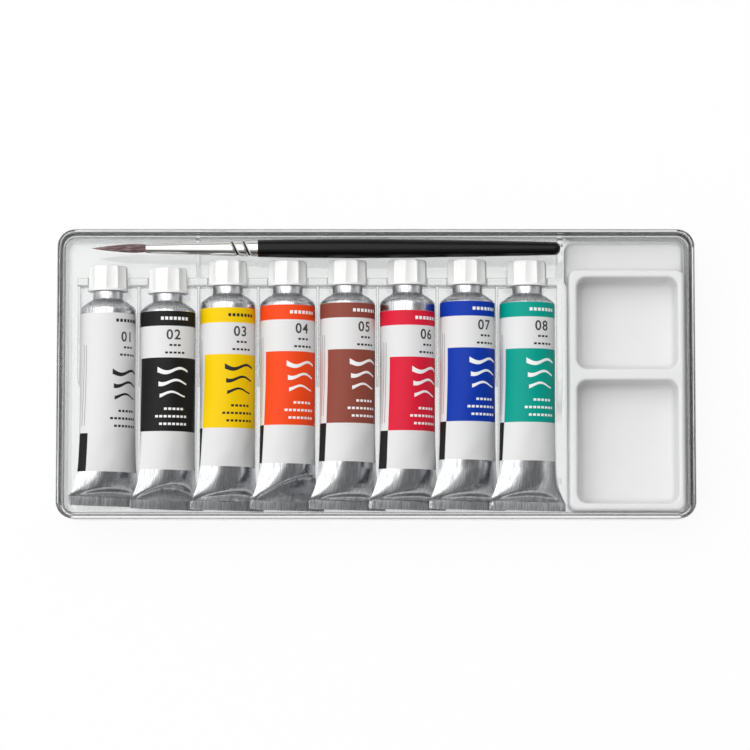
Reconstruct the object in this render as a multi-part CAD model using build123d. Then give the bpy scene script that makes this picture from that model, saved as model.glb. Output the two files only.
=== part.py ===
from build123d import *

import math
import os

# Gouache paint set box: a clear tray with eight metal tubes of paint, a brush and a mixing palette,
# standing in its own upturned lid. Millimetres, +Z up, +X towards the palette, +Y towards the brush.
# The origin is the middle of the lid's underside. Every size follows from the values below.

# Paint tubes
TUBE_COUNT = 8
TUBE_DIAMETER = 19.2
TUBE_GAP = 1.6  # between neighbouring tubes
TUBE_LENGTH = 86.7  # crimped end to cap end
TUBE_WALL = 0.2
SHOULDER_HEIGHT = 2.2
SHOULDER_EDGE = 0.9  # rounding where the shoulder meets the barrel
NECK_RADIUS = 5.2
NECK_LENGTH = 3.1  # bare neck between the shoulder and the cap
NOZZLE_RADIUS = 4.3
NOZZLE_LENGTH = 6.4
NOZZLE_BORE = 2.4  # radius
FLARE_LENGTH = 48.0  # barrel that is pressed flat towards the crimp
FLARE_SHAPE = 2.2  # how late the barrel widens
FLARE_STATIONS = [0.0, 0.22, 0.45, 0.68, 0.85, 0.94, 1.0]
FOLD_DEPTH = 3.2  # rolled strip that closes the tube
FOLD_THICKNESS = 1.2
FOLD_EDGE = 0.45
PRESSED_THICKNESS = 0.8  # both walls where they enter the fold
PAINT_GAP = 0.08  # between the paint and the tube's wall
NOZZLE_EMPTY = 1.0  # free length at the nozzle's mouth

# How each tube lies, from left to right
ROLLS = [33.0, 37.0, 36.0, 34.0, 30.0, 29.0, 28.0, 28.0]  # degrees, right corner of the crimp down
LIES = [1.5, 0.3, 0.0, 0.0, 0.2, 0.3, 0.3, 0.0]  # crimp's extra distance from the front wall
FOLDED_AWAY = [3.3, 2.9, 0.0, 0.0, 0.0, 0.0, 0.0, 0.0]  # length lost in a second turn of the fold

# Screw caps
CAP_RADIUS = 6.95
CAP_TOP_RADIUS = 6.75
CAP_HEIGHT = 8.6
CAP_LIP = 0.7  # plain ring below the flutes
CAP_FLUTES = 10
CAP_FLUTE_DEPTH = 0.45
CAP_TOP_EDGE = 0.5
CAP_BORE_GAP = 0.08
CAP_BORE_END_GAP = 0.4
CAP_SEAT_GAP = 0.1  # between the cap's mouth and the neck's step

# Brush
FERRULE_LENGTH = 38.8
FERRULE_WALL = 0.25
FERRULE_MOUTH_RADIUS = 1.6
FERRULE_END_RADIUS = 2.85
CRIMP_RINGS = [4.0, 8.0]  # from the handle end of the ferrule
RING_WIDTH = 1.5
RING_DEPTH = 0.35
RING_WALL = 0.15  # wall left under a ring
HAIR_LENGTH = 18.7
HAIR_BELLY = 1.62  # radius
HAIR_BELLY_AT = 4.5  # from the ferrule's mouth
HAIR_ROOT = 7.0  # inside the ferrule
HAIR_SWELL = 0.25  # sideways per length where the hair leaves the ferrule
HAIR_POINT = 0.22  # sideways per length at the tip
HANDLE_LENGTH = 104.8  # from the ferrule's end
HANDLE_RADIUS = 3.4
HANDLE_START_RADIUS = 3.0
HANDLE_END_RADIUS = 2.25
HANDLE_BELLY_AT = 35.0  # from the ferrule's end
HANDLE_TAPER_SHAPE = 1.4  # how late the handle thins behind its belly
HANDLE_DOME = 1.8  # length of the rounded end
HANDLE_TANG = 14.0  # inside the ferrule
BRUSH_ASSEMBLY_GAP = 0.05

# Palette
PALETTE_TOP_LENGTH = 40.5  # the raised frame, along X
SHELF_OVERHANG = 0.9  # the shelf's extra length on the left
PALETTE_SHELL = 1.1
PALETTE_DRAFT = 0.7  # degrees
PALETTE_CORNER = 3.0
PALETTE_EDGE = 1.3
SHELF_DEPTH = 10.0  # along Y
SHELF_DROP = 6.0
WELL_DEPTH = 10.5
WELL_DRAFT = 5.0  # degrees
WELL_CORNER = 2.6
WELL_FLOOR_EDGE = 2.0
WELL_OUTER_EDGE = 2.55  # the same edge seen from below
WELL_RIM_EDGE = 0.9
WELL_BAR = 4.0  # between the two wells
FRAME_BAR = 3.0  # left and back of the wells
RIGHT_BAR = 2.4
FRONT_BAR = 2.9
SMALL_WELL_WIDTH = 31.8  # along Y
SKIRT_LIFT = 1.7  # the skirt ends this far above the tray's floor

# Tray
TRAY_HEIGHT = 15.0
TRAY_WALL = 0.9
TRAY_FLOOR = 1.0
TRAY_CORNER = 3.4  # inside, at the floor
TRAY_FLOOR_EDGE = 1.2
DRAFT = 0.7  # degrees, all tray and lid walls
RIM_EDGE = 0.3
DIVIDER_THICKNESS = 1.8
RIDGE_THICKNESS = 2.7
RIDGE_HEIGHT = 8.8
RIDGE_EDGE = 0.6
RIDGE_BEHIND_CAP_MOUTH = 0.5
RIB_THICKNESS = 1.0
RIB_HEIGHT = 5.8
RIB_LENGTH = 33.0
RIB_EDGE = 0.4
CROSS_RIB_THICKNESS = 1.2
CROSS_RIB_HEIGHT = 13.8
LOW_DIVIDER_HEIGHT = 2.3
DIVIDER_LEVEL_LENGTH = 31.0  # full height, from the ridge towards the front
DIVIDER_SLOPE_LENGTH = 18.0
DIVIDER_END_LENGTH = 20.0
BRUSH_HEIGHT = 15.4  # brush axis above the tray's floor
LEFT_CROSS_RIB_TUBE = 2  # it stands after this many tubes

# Lid
LID_WALL = 1.1
LID_PLATE = 1.2
LID_EDGE = 2.0  # outer rounding
LID_INNER_EDGE = 0.8
TOP_GAP = 0.5  # between the tubes and the closed lid

# Clearances
SIDE_SPACE = 4.76  # left wall to the first tube's barrel
DIVIDER_GAP = 0.9  # last barrel to the divider
PALETTE_SIDE_GAP = 1.0  # divider to the palette's shelf
PALETTE_WALL_GAP = 0.25
FRONT_GAP = 0.5  # front wall to the crimps
LIE_ROOM = 0.3  # play along the tubes
BRUSH_CAP_GAP = 0.35
BRUSH_WALL_GAP = 0.25
SEAT_GAP = 0.3
CAP_NOTCH_GAP = 0.35
LID_GAP = 0.3

# Working values
CUT_PAST = 1.0  # how far a cutting form runs past the face that it opens
LEVEL = 0.001  # edges this near a height lie on it
RIM_SEARCH = 0.5  # a well's rim edges lie this near its footprint
PROFILE_STEPS = 8  # points along the handle's profile
HALVINGS = 50  # steps in the search for a pressed section

# Worked out
TUBE_RADIUS = TUBE_DIAMETER / 2
TUBE_PITCH = TUBE_DIAMETER + TUBE_GAP
CRIMP_WIDTH = math.pi * TUBE_RADIUS
SLOPE = math.tan(math.radians(DRAFT))
PALETTE_LENGTH = PALETTE_TOP_LENGTH + SHELF_OVERHANG
TRAY_BOTTOM = LID_PLATE
FLOOR = TRAY_BOTTOM + TRAY_FLOOR
TRAY_RIM = TRAY_BOTTOM + TRAY_HEIGHT
LID_RIM = LID_PLATE + TRAY_FLOOR + SEAT_GAP + TUBE_DIAMETER + TOP_GAP
TUBE_ROW = TUBE_COUNT * TUBE_PITCH - TUBE_GAP
INNER_LENGTH = (
    SIDE_SPACE + TUBE_ROW + DIVIDER_GAP + DIVIDER_THICKNESS
    + PALETTE_SIDE_GAP + PALETTE_LENGTH + PALETTE_WALL_GAP
)
INNER_WIDTH = (
    FRONT_GAP + TUBE_LENGTH + LIE_ROOM + BRUSH_CAP_GAP + 2 * HANDLE_RADIUS + BRUSH_WALL_GAP
)
LEFT = -INNER_LENGTH / 2
FRONT = -INNER_WIDTH / 2
BACK = INNER_WIDTH / 2
TUBE_Z = FLOOR + SEAT_GAP + TUBE_RADIUS
DIVIDER_X = LEFT + SIDE_SPACE + TUBE_ROW + DIVIDER_GAP
PALETTE_X = DIVIDER_X + DIVIDER_THICKNESS + PALETTE_SIDE_GAP
CAP_MOUTH = TUBE_LENGTH - CAP_HEIGHT
RIDGE_Y = FRONT + FRONT_GAP + CAP_MOUTH + RIDGE_BEHIND_CAP_MOUTH
BRUSH_Y = BACK - BRUSH_WALL_GAP - HANDLE_RADIUS
BRUSH_Z = FLOOR + BRUSH_HEIGHT


def tray_block(low, high, outset):
    """Block between two heights whose walls stand `outset` outside the tray's inner walls."""
    faces = []
    for height in (low, high):
        grow = outset + (height - FLOOR) * SLOPE
        outline = RectangleRounded(INNER_LENGTH + 2 * grow, INNER_WIDTH + 2 * grow, TRAY_CORNER + grow)
        faces.append(Pos(0, 0, height) * outline)
    return loft(faces, ruled=True)


def leaning_block(x, y, low, high, corner, slope):
    """Block over the footprint x = (left, right), y = (front, back) at `low`, wider by `slope` going up."""
    faces = []
    for height in (low, high):
        grow = (height - low) * slope
        outline = RectangleRounded(x[1] - x[0] + 2 * grow, y[1] - y[0] + 2 * grow, corner + grow)
        faces.append(Pos((x[0] + x[1]) / 2, (y[0] + y[1]) / 2, height) * outline)
    return loft(faces, ruled=True)


def edges_at(shape, height):
    """Edges that lie level at one height."""
    return shape.edges().filter_by_position(Axis.Z, height - LEVEL, height + LEVEL)


def tube_x(index):
    """X of a tube's axis, counted from the left."""
    return LEFT + SIDE_SPACE + TUBE_RADIUS + index * TUBE_PITCH


def tube_place(index):
    """From a tube's own frame (Z from the crimp to the cap, X across the crimp) to the row frame."""
    start = (tube_x(index), FRONT + FRONT_GAP + LIES[index], TUBE_Z)
    along = Plane(origin=start, x_dir=(1, 0, 0), z_dir=(0, 1, 0))
    return along.location * Rot(0, 0, ROLLS[index])


def lid():
    """Shallow clear lid, lying upturned with its open side up."""
    outer = tray_block(0, LID_RIM, TRAY_WALL + LID_GAP + LID_WALL)
    outer = fillet(edges_at(outer, 0), LID_EDGE)
    hollow = tray_block(LID_PLATE, LID_RIM + CUT_PAST, TRAY_WALL + LID_GAP)
    hollow = fillet(edges_at(hollow, LID_PLATE), LID_INNER_EDGE)
    shell = outer - hollow
    return fillet(edges_at(shell, LID_RIM), RIM_EDGE)


def tube_rib():
    """Low rib along Y from y = 0 towards the front, with a rounded top and a leaning front end."""
    foot = RIB_LENGTH + RIB_HEIGHT / 2
    low = -TRAY_FLOOR / 2
    side = Polyline((0, low), (-foot, low), (-RIB_LENGTH, RIB_HEIGHT), (0, RIB_HEIGHT), close=True)
    rib = extrude(Plane.YZ * make_face(side), RIB_THICKNESS / 2, both=True)
    return fillet(edges_at(rib, RIB_HEIGHT).filter_by(Axis.Y), RIB_EDGE)


def ridge():
    """Cross ridge under the caps, with a round notch for each cap."""
    wide = RIDGE_THICKNESS + 2 * RIDGE_HEIGHT * math.tan(math.radians(2 * DRAFT))
    section = Polyline(
        (-wide / 2, -TRAY_FLOOR / 2), (wide / 2, -TRAY_FLOOR / 2),
        (RIDGE_THICKNESS / 2, RIDGE_HEIGHT), (-RIDGE_THICKNESS / 2, RIDGE_HEIGHT), close=True,
    )
    left = tube_x(0) - TUBE_PITCH / 2 - RIB_THICKNESS / 2
    right = DIVIDER_X + DIVIDER_THICKNESS / 2
    bar = extrude(Plane.YZ * make_face(section), right - left)
    bar = fillet(edges_at(bar, RIDGE_HEIGHT).filter_by(Axis.X), RIDGE_EDGE)
    bar = Pos(left, RIDGE_Y + RIDGE_THICKNESS / 2, FLOOR) * bar
    for index in range(TUBE_COUNT):
        notch = Cylinder(CAP_RADIUS + CAP_NOTCH_GAP, 3 * RIDGE_THICKNESS)
        bar -= Pos(tube_x(index), RIDGE_Y, TUBE_Z) * Rot(90, 0, 0) * notch
    return bar


def brush_notch(x, radius):
    """Round notch that carries the brush, open at the top."""
    wide = radius + SEAT_GAP
    round_part = Rot(0, 90, 0) * Cylinder(wide, 2 * CROSS_RIB_THICKNESS + DIVIDER_THICKNESS)
    return Pos(x, BRUSH_Y, BRUSH_Z) * round_part


def cross_rib():
    """Tall rib from the back wall to the ridge, sloping down to it and notched for the ferrule."""
    x = tube_x(LEFT_CROSS_RIB_TUBE) - TUBE_PITCH / 2
    ridge_back = RIDGE_Y + RIDGE_THICKNESS
    slope_back = ridge_back + CROSS_RIB_HEIGHT - RIDGE_HEIGHT
    side = Polyline(
        (ridge_back - RIDGE_THICKNESS / 2, FLOOR - TRAY_FLOOR / 2), (BACK, FLOOR - TRAY_FLOOR / 2),
        (BACK + CROSS_RIB_HEIGHT * SLOPE, FLOOR + CROSS_RIB_HEIGHT),
        (slope_back, FLOOR + CROSS_RIB_HEIGHT), (ridge_back, FLOOR + RIDGE_HEIGHT),
        (ridge_back - RIDGE_THICKNESS / 2, FLOOR + RIDGE_HEIGHT), close=True,
    )
    rib = extrude(Plane.YZ * make_face(side), CROSS_RIB_THICKNESS / 2, both=True)
    return Pos(x, 0, 0) * rib - brush_notch(x, ferrule_radius(x - HANDLE_X + FERRULE_LENGTH))


def divider():
    """Wall between tubes and palette, swept down in front where the last crimp fans out over it."""
    level_end = RIDGE_Y - DIVIDER_LEVEL_LENGTH
    slope_end = level_end - DIVIDER_SLOPE_LENGTH
    front = slope_end - DIVIDER_END_LENGTH
    top = FLOOR + CROSS_RIB_HEIGHT
    mid = FLOOR + RIDGE_HEIGHT
    low = FLOOR + LOW_DIVIDER_HEIGHT
    foot = FLOOR - TRAY_FLOOR / 2
    back_slope = RIDGE_Y + RIDGE_THICKNESS + CROSS_RIB_HEIGHT - RIDGE_HEIGHT
    reach = DIVIDER_SLOPE_LENGTH / 2
    swept = Bezier((level_end, mid), (level_end - reach, mid), (slope_end + reach, low), (slope_end, low))
    outline = Polyline(
        (slope_end, low), (front + low - FLOOR, low), (front, foot), (BACK, foot),
        (BACK + CROSS_RIB_HEIGHT * SLOPE, top), (back_slope, top),
        (RIDGE_Y + RIDGE_THICKNESS, mid), (level_end, mid),
    )
    wall = extrude(Plane.YZ * make_face(swept + outline), DIVIDER_THICKNESS)
    x = DIVIDER_X + DIVIDER_THICKNESS / 2
    return Pos(DIVIDER_X, 0, 0) * wall - brush_notch(x, handle_radius(x - HANDLE_X))


def tray():
    """Clear tray with the ridge, ribs and divider that keep the tubes, brush and palette apart."""
    outer = tray_block(TRAY_BOTTOM, TRAY_RIM, TRAY_WALL)
    outer = fillet(edges_at(outer, TRAY_BOTTOM), TRAY_WALL + TRAY_FLOOR_EDGE / 2)
    hollow = tray_block(FLOOR, TRAY_RIM + CUT_PAST, 0)
    hollow = fillet(edges_at(hollow, FLOOR), TRAY_FLOOR_EDGE)
    shell = outer - hollow
    shell = fillet(edges_at(shell, TRAY_RIM), RIM_EDGE)
    parts = [ridge(), cross_rib(), divider()]
    for index in range(TUBE_COUNT):
        x = tube_x(index) - TUBE_PITCH / 2
        parts.append(Pos(x, RIDGE_Y + RIB_THICKNESS, FLOOR) * tube_rib())
    return shell + parts


def half_height(half_width):
    """Other half axis of the ellipse whose girth, by Ramanujan's formula, is still that of the barrel."""
    low, high = 0.0, TUBE_RADIUS
    for _ in range(HALVINGS):
        middle = (low + high) / 2
        spread = ((half_width - middle) / (half_width + middle)) ** 2
        stretch = 1 + 3 * spread / (10 + math.sqrt(4 - 3 * spread))
        girth = math.pi * (half_width + middle) * stretch
        if girth < 2 * math.pi * TUBE_RADIUS:
            low = middle
        else:
            high = middle
    return low


def pressed_barrel(inset):
    """The flared half of the barrel, `inset` inside its skin; an inner form stops short of the fold."""
    sections = []
    stations = FLARE_STATIONS[:-1] if inset else FLARE_STATIONS
    for share in stations:
        half_width = TUBE_RADIUS + (CRIMP_WIDTH / 2 - TUBE_RADIUS) * share**FLARE_SHAPE
        half_thick = max(half_height(half_width), PRESSED_THICKNESS / 2)
        height = FOLD_DEPTH + FLARE_LENGTH * (1 - share)
        sections.append(Pos(0, 0, height) * Ellipse(half_width - inset, half_thick - inset))
    return loft(sections)


def turned(points):
    """Solid of revolution about Z from half-profile points (radius, height), closed along the axis."""
    outline = Polyline(*[(radius, 0, height) for radius, height in points], close=True)
    return revolve(make_face(outline), Axis.Z)


def barrel_length(index):
    """Crimped end to shoulder edge."""
    return TUBE_LENGTH - FOLDED_AWAY[index] - CAP_HEIGHT - NECK_LENGTH - SHOULDER_HEIGHT


def round_barrel(index, inset):
    """The round half of the barrel with its shoulder, `inset` inside its skin."""
    start = FOLD_DEPTH + FLARE_LENGTH
    edge = barrel_length(index)
    radius = TUBE_RADIUS - inset
    round_start = (radius, 0, edge - SHOULDER_EDGE)
    cone_start = (radius - SHOULDER_EDGE, 0, edge - inset)
    neck = NECK_RADIUS - inset
    bend = Bezier(round_start, (radius, 0, edge - inset), cone_start)
    rest = Polyline(
        cone_start, (neck, 0, edge + SHOULDER_HEIGHT - inset), (0, 0, edge + SHOULDER_HEIGHT - inset),
        (0, 0, start), (radius, 0, start), round_start,
    )
    return revolve(make_face(bend + rest), Axis.Z)


def tube_shell(index):
    """Aluminium tube: round barrel, neck and open nozzle, flattened and folded shut at the other end."""
    mouth = barrel_length(index) + SHOULDER_HEIGHT
    step = mouth + NECK_LENGTH - CAP_SEAT_GAP
    end = step + NOZZLE_LENGTH
    skin = pressed_barrel(0) + round_barrel(index, 0)
    hollow = pressed_barrel(TUBE_WALL) + round_barrel(index, TUBE_WALL)
    spout = turned([
        (0, mouth - SHOULDER_HEIGHT / 2), (NECK_RADIUS, mouth - TUBE_WALL), (NECK_RADIUS, step),
        (NOZZLE_RADIUS, step), (NOZZLE_RADIUS, end), (0, end),
    ])
    strip = RectangleRounded(FOLD_THICKNESS, FOLD_DEPTH, FOLD_EDGE)
    fold = extrude(Plane.YZ * strip, CRIMP_WIDTH / 2, both=True)
    bore = Pos(0, 0, mouth) * Cylinder(NOZZLE_BORE, 2 * (end - mouth) + SHOULDER_HEIGHT)
    return skin + spout - hollow - bore + Pos(0, 0, FOLD_DEPTH / 2) * fold


def paint(index):
    """The paint that fills the tube up into its nozzle."""
    inset = TUBE_WALL + PAINT_GAP
    mouth = barrel_length(index) + SHOULDER_HEIGHT
    end = mouth + NECK_LENGTH + NOZZLE_LENGTH - NOZZLE_EMPTY
    stem = turned([(0, mouth - SHOULDER_HEIGHT), (NOZZLE_BORE - PAINT_GAP, mouth - SHOULDER_HEIGHT),
                   (NOZZLE_BORE - PAINT_GAP, end), (0, end)])
    return pressed_barrel(inset) + round_barrel(index, inset) + stem


def cap(index):
    """Fluted screw cap over the nozzle."""
    start = TUBE_LENGTH - FOLDED_AWAY[index] - CAP_HEIGHT
    end = start + CAP_HEIGHT
    body = turned([
        (0, start), (CAP_RADIUS, start), (CAP_RADIUS, start + CAP_LIP),
        (CAP_TOP_RADIUS, end - CAP_TOP_EDGE), (CAP_TOP_RADIUS - CAP_TOP_EDGE, end), (0, end),
    ])
    half_chord = CAP_RADIUS * math.sin(math.pi / CAP_FLUTES)
    flute_radius = (half_chord**2 + CAP_FLUTE_DEPTH**2) / (2 * CAP_FLUTE_DEPTH)
    reach = CAP_RADIUS * math.cos(math.pi / CAP_FLUTES) - CAP_FLUTE_DEPTH + flute_radius
    flutes = PolarLocations(reach, CAP_FLUTES) * Cylinder(
        flute_radius, CAP_HEIGHT, align=(Align.CENTER, Align.CENTER, Align.MIN)
    )
    bore_end = NOZZLE_LENGTH + CAP_BORE_END_GAP
    bore = Cylinder(NOZZLE_RADIUS + CAP_BORE_GAP, 2 * bore_end)
    return body - [Pos(0, 0, start + CAP_LIP) * flute for flute in flutes] - Pos(0, 0, start) * bore


HANDLE_X = DIVIDER_X + DIVIDER_THICKNESS / 2 - HANDLE_LENGTH  # ferrule's end


def ferrule_radius(along):
    """Outer radius at a distance from the ferrule's mouth."""
    share = along / FERRULE_LENGTH
    return FERRULE_MOUTH_RADIUS + (FERRULE_END_RADIUS - FERRULE_MOUTH_RADIUS) * share


def handle_radius(along):
    """Radius at a distance from the ferrule's end: swelling to the belly, then tapering away."""
    if along < HANDLE_BELLY_AT:
        share = 1 - along / HANDLE_BELLY_AT
        return HANDLE_RADIUS - (HANDLE_RADIUS - HANDLE_START_RADIUS) * share**2
    share = (along - HANDLE_BELLY_AT) / (HANDLE_LENGTH - HANDLE_BELLY_AT)
    return HANDLE_RADIUS - (HANDLE_RADIUS - HANDLE_END_RADIUS) * share**HANDLE_TAPER_SHAPE


def along_brush(solid):
    """From the brush's own frame (Z from tip to handle, 0 at the ferrule's end) to the row frame."""
    return Pos(HANDLE_X, BRUSH_Y, BRUSH_Z) * Rot(0, 90, 0) * solid


def ferrule():
    """Seamless tapered ferrule with two rolled crimp rings."""
    start = -FERRULE_LENGTH
    mouth, end = FERRULE_MOUTH_RADIUS, FERRULE_END_RADIUS
    skin = turned([(0, start), (mouth, start), (end, 0), (0, 0)])
    hollow = turned([(0, start), (mouth - FERRULE_WALL, start), (end - FERRULE_WALL, 0), (0, 0)])
    tube = skin - hollow
    for place in CRIMP_RINGS:
        radius = ferrule_radius(FERRULE_LENGTH - place)
        tool_radius = (RING_WIDTH**2 / 4 + RING_DEPTH**2) / (2 * RING_DEPTH)
        ring = Torus(radius + tool_radius - RING_DEPTH, tool_radius)
        core = Cylinder(radius - FERRULE_WALL + RING_WALL, 2 * tool_radius)
        tube -= Pos(0, 0, -place) * (ring - core)
    return along_brush(tube)


def handle():
    """Lacquered handle with a tang inside the ferrule."""
    heights = [HANDLE_LENGTH * step / PROFILE_STEPS for step in range(PROFILE_STEPS)]
    tip = HANDLE_LENGTH - HANDLE_DOME
    curve = Spline(*[(handle_radius(height), 0, height) for height in heights], (HANDLE_END_RADIUS, 0, tip))
    round_end = (HANDLE_LENGTH + tip) / 2
    dome = Bezier(
        (HANDLE_END_RADIUS, 0, tip), (HANDLE_END_RADIUS, 0, round_end),
        (HANDLE_END_RADIUS / 2, 0, HANDLE_LENGTH), (0, 0, HANDLE_LENGTH),
    )
    inside = FERRULE_WALL + BRUSH_ASSEMBLY_GAP
    tang_root = FERRULE_END_RADIUS - inside
    tang_end = ferrule_radius(FERRULE_LENGTH - HANDLE_TANG) - inside
    foot = Polyline((0, 0, HANDLE_LENGTH), (0, 0, -HANDLE_TANG), (tang_end, 0, -HANDLE_TANG),
                    (tang_root, 0, 0), (HANDLE_START_RADIUS, 0, 0))
    return along_brush(revolve(make_face(curve + dome + foot), Axis.Z))


def hair():
    """Round pointed tuft with its root inside the ferrule."""
    mouth = -FERRULE_LENGTH
    inside = FERRULE_WALL + BRUSH_ASSEMBLY_GAP
    root = FERRULE_MOUTH_RADIUS - inside
    curve = Spline(
        (root, 0, mouth), (HAIR_BELLY, 0, mouth - HAIR_BELLY_AT), (0, 0, mouth - HAIR_LENGTH),
        tangents=[(HAIR_SWELL, 0, -1), (-HAIR_POINT, 0, -1)],
    )
    foot = Polyline((0, 0, mouth - HAIR_LENGTH), (0, 0, mouth + HAIR_ROOT), (root, 0, mouth + HAIR_ROOT),
                    (root, 0, mouth))
    return along_brush(revolve(make_face(curve + foot), Axis.Z))


def well_footprints():
    """Rim rectangles of the two wells: (left, right), (front, back)."""
    left = PALETTE_X + PALETTE_LENGTH - PALETTE_TOP_LENGTH + FRAME_BAR
    right = PALETTE_X + PALETTE_LENGTH - RIGHT_BAR
    back = palette_step() - FRAME_BAR
    middle = back - SMALL_WELL_WIDTH
    front = FRONT + PALETTE_WALL_GAP + FRONT_BAR
    return [((left, right), (middle, back)), ((left, right), (front, middle - WELL_BAR))]


def palette_step():
    """Y of the step from the raised frame down to the shelf."""
    return BACK - PALETTE_WALL_GAP - SHELF_DEPTH


def palette_skin(inset):
    """Outer form of frame and shelf, `inset` inside its walls and top."""
    slope = -math.tan(math.radians(PALETTE_DRAFT))
    low = FLOOR + SKIRT_LIFT - inset
    top = FLOOR + PALETTE_SHELL + WELL_DEPTH - inset
    right = PALETTE_X + PALETTE_LENGTH - inset
    front = FRONT + PALETTE_WALL_GAP + inset
    back = BACK - PALETTE_WALL_GAP - inset
    left = PALETTE_X + PALETTE_LENGTH - PALETTE_TOP_LENGTH + inset
    corner = PALETTE_CORNER - inset
    frame = leaning_block((left, right), (front, palette_step() - inset), low, top, corner, slope)
    shelf_left = PALETTE_X + inset
    shelf_front = palette_step() - 2 * PALETTE_CORNER
    shelf = leaning_block((shelf_left, right), (shelf_front, back), low, top - SHELF_DROP, corner, slope)
    if not inset:
        frame = fillet(edges_at(frame, top), PALETTE_EDGE)
        shelf = fillet(edges_at(shelf, top - SHELF_DROP), PALETTE_EDGE)
    return frame + shelf


def well(footprint, outset, rounding):
    """Well form that narrows downwards, `outset` outside its inner wall."""
    (left, right), (front, back) = footprint
    slope = math.tan(math.radians(WELL_DRAFT))
    high = FLOOR + PALETTE_SHELL + WELL_DEPTH
    low = high - WELL_DEPTH - outset
    shrink = WELL_DEPTH * slope - outset
    x = (left + shrink, right - shrink)
    y = (front + shrink, back - shrink)
    block = leaning_block(x, y, low, high, WELL_CORNER, slope)
    return fillet(edges_at(block, low), rounding)


def palette():
    """White moulded palette: two deep wells in a raised frame and a low shelf behind them."""
    shell = palette_skin(0) - palette_skin(PALETTE_SHELL)
    top = FLOOR + PALETTE_SHELL + WELL_DEPTH
    for footprint in well_footprints():
        shell += well(footprint, PALETTE_SHELL, WELL_OUTER_EDGE)
    for footprint in well_footprints():
        shell -= well(footprint, 0, WELL_FLOOR_EDGE)
    rims = []
    for edge in edges_at(shell, top):
        middle = edge.center()
        for (left, right), (front, back) in well_footprints():
            beside = left - RIM_SEARCH < middle.X < right + RIM_SEARCH
            if beside and front - RIM_SEARCH < middle.Y < back + RIM_SEARCH:
                rims.append(edge)
    return fillet(rims, WELL_RIM_EDGE)


def write(name, solid):
    """One STEP file per node."""
    export_step(solid, os.path.join("parts", name + ".step"))


os.makedirs("parts", exist_ok=True)
write("lid", lid())
write("tray", tray())
write("palette", palette())
write("brush_ferrule", ferrule())
write("brush_handle", handle())
write("brush_hair", hair())
for number in range(TUBE_COUNT):
    place = tube_place(number)
    name = f"tube_{number + 1}"
    write(name + "_shell", place * tube_shell(number))
    write(name + "_paint", place * paint(number))
    write(name + "_cap", place * cap(number))
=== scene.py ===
import math

import bmesh
import bpy
import numpy as np
from mathutils import Matrix, Vector


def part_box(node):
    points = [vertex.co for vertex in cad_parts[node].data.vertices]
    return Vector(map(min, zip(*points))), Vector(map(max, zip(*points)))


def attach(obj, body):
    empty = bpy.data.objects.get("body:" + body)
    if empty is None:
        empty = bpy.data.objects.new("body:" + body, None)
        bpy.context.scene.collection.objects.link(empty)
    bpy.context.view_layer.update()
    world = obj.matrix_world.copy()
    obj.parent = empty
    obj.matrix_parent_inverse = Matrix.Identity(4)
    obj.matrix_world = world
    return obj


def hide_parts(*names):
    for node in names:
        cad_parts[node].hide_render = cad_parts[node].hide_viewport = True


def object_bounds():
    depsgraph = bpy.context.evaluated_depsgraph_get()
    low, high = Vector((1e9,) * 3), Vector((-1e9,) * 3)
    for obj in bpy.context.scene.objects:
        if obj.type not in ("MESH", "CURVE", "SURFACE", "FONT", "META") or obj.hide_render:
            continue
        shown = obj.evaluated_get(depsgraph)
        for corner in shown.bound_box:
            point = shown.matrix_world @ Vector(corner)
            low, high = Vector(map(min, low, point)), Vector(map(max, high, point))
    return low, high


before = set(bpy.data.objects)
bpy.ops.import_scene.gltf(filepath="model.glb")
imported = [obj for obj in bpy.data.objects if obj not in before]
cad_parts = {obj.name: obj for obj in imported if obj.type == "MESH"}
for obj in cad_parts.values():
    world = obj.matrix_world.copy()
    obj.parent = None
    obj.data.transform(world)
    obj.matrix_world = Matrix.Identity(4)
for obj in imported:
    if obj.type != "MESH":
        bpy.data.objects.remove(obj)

cad_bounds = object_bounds()
MM = 0.001


# ---- Table, studio light and camera -------------------------------------------------------------
# A pale table under one large soft box that hangs overhead, a little to the left and behind. The grey
# room round it is whiter on the left, and unlit high on the right and low in front. The camera looks
# almost straight down, from the side where the tubes' folds lie.
CAMERA_ELEVATION = 85.0
CAMERA_DISTANCE = 1.255
CAMERA_LENS = 175.0
AIM = Vector((-0.35 * MM, -0.6 * MM, cad_bounds[1][2]))
SOFT_BOX_SIZE = (2.2, 2.0)
SOFT_BOX_PLACE = (-0.42, 0.42, 1.5)
SOFT_BOX_POWER = 19.5
ROOM_LEVEL = 0.62
ROOM_LEFT_LEVEL = 1.05
ROOM_LEFT_FADE = (-0.15, -0.75)  # X of the direction, where the left side starts and is whole
ROOM_FRONT_SHARE = 0.15
ROOM_FRONT_FADE = (-0.6, -0.85)  # Y of the direction, likewise
DARK_SIDE = (0.66, -0.3, 0.62)  # toward the unlit end of the room, to the right
DARK_SIDE_REACH = 38.0  # degrees off it
DARK_SIDE_WHOLE = 0.93  # cosine of the angle off it within which it is at its darkest
ROOM_DARK_SHARE = 0.32
TABLE_REACH = 4.0  # metres from the middle to each side
TABLE_DROP = 0.15 * MM  # below the box's underside
TABLE_COLOUR = "F6F6F6"
TABLE_SHOWN_WHITE = 0.9  # how much of the table is seen as plain white, without the shadows on it
TABLE_WHITE_THROUGH_PLASTIC = 0.12  # the same, where clear plastic lies before it


def linear(hex_colour):
    """sRGB hex to linear RGBA."""
    channels = [int(hex_colour[i:i + 2], 16) / 255 for i in (0, 2, 4)]
    return (*[c / 12.92 if c <= 0.04045 else ((c + 0.055) / 1.055) ** 2.4 for c in channels], 1.0)


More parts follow.
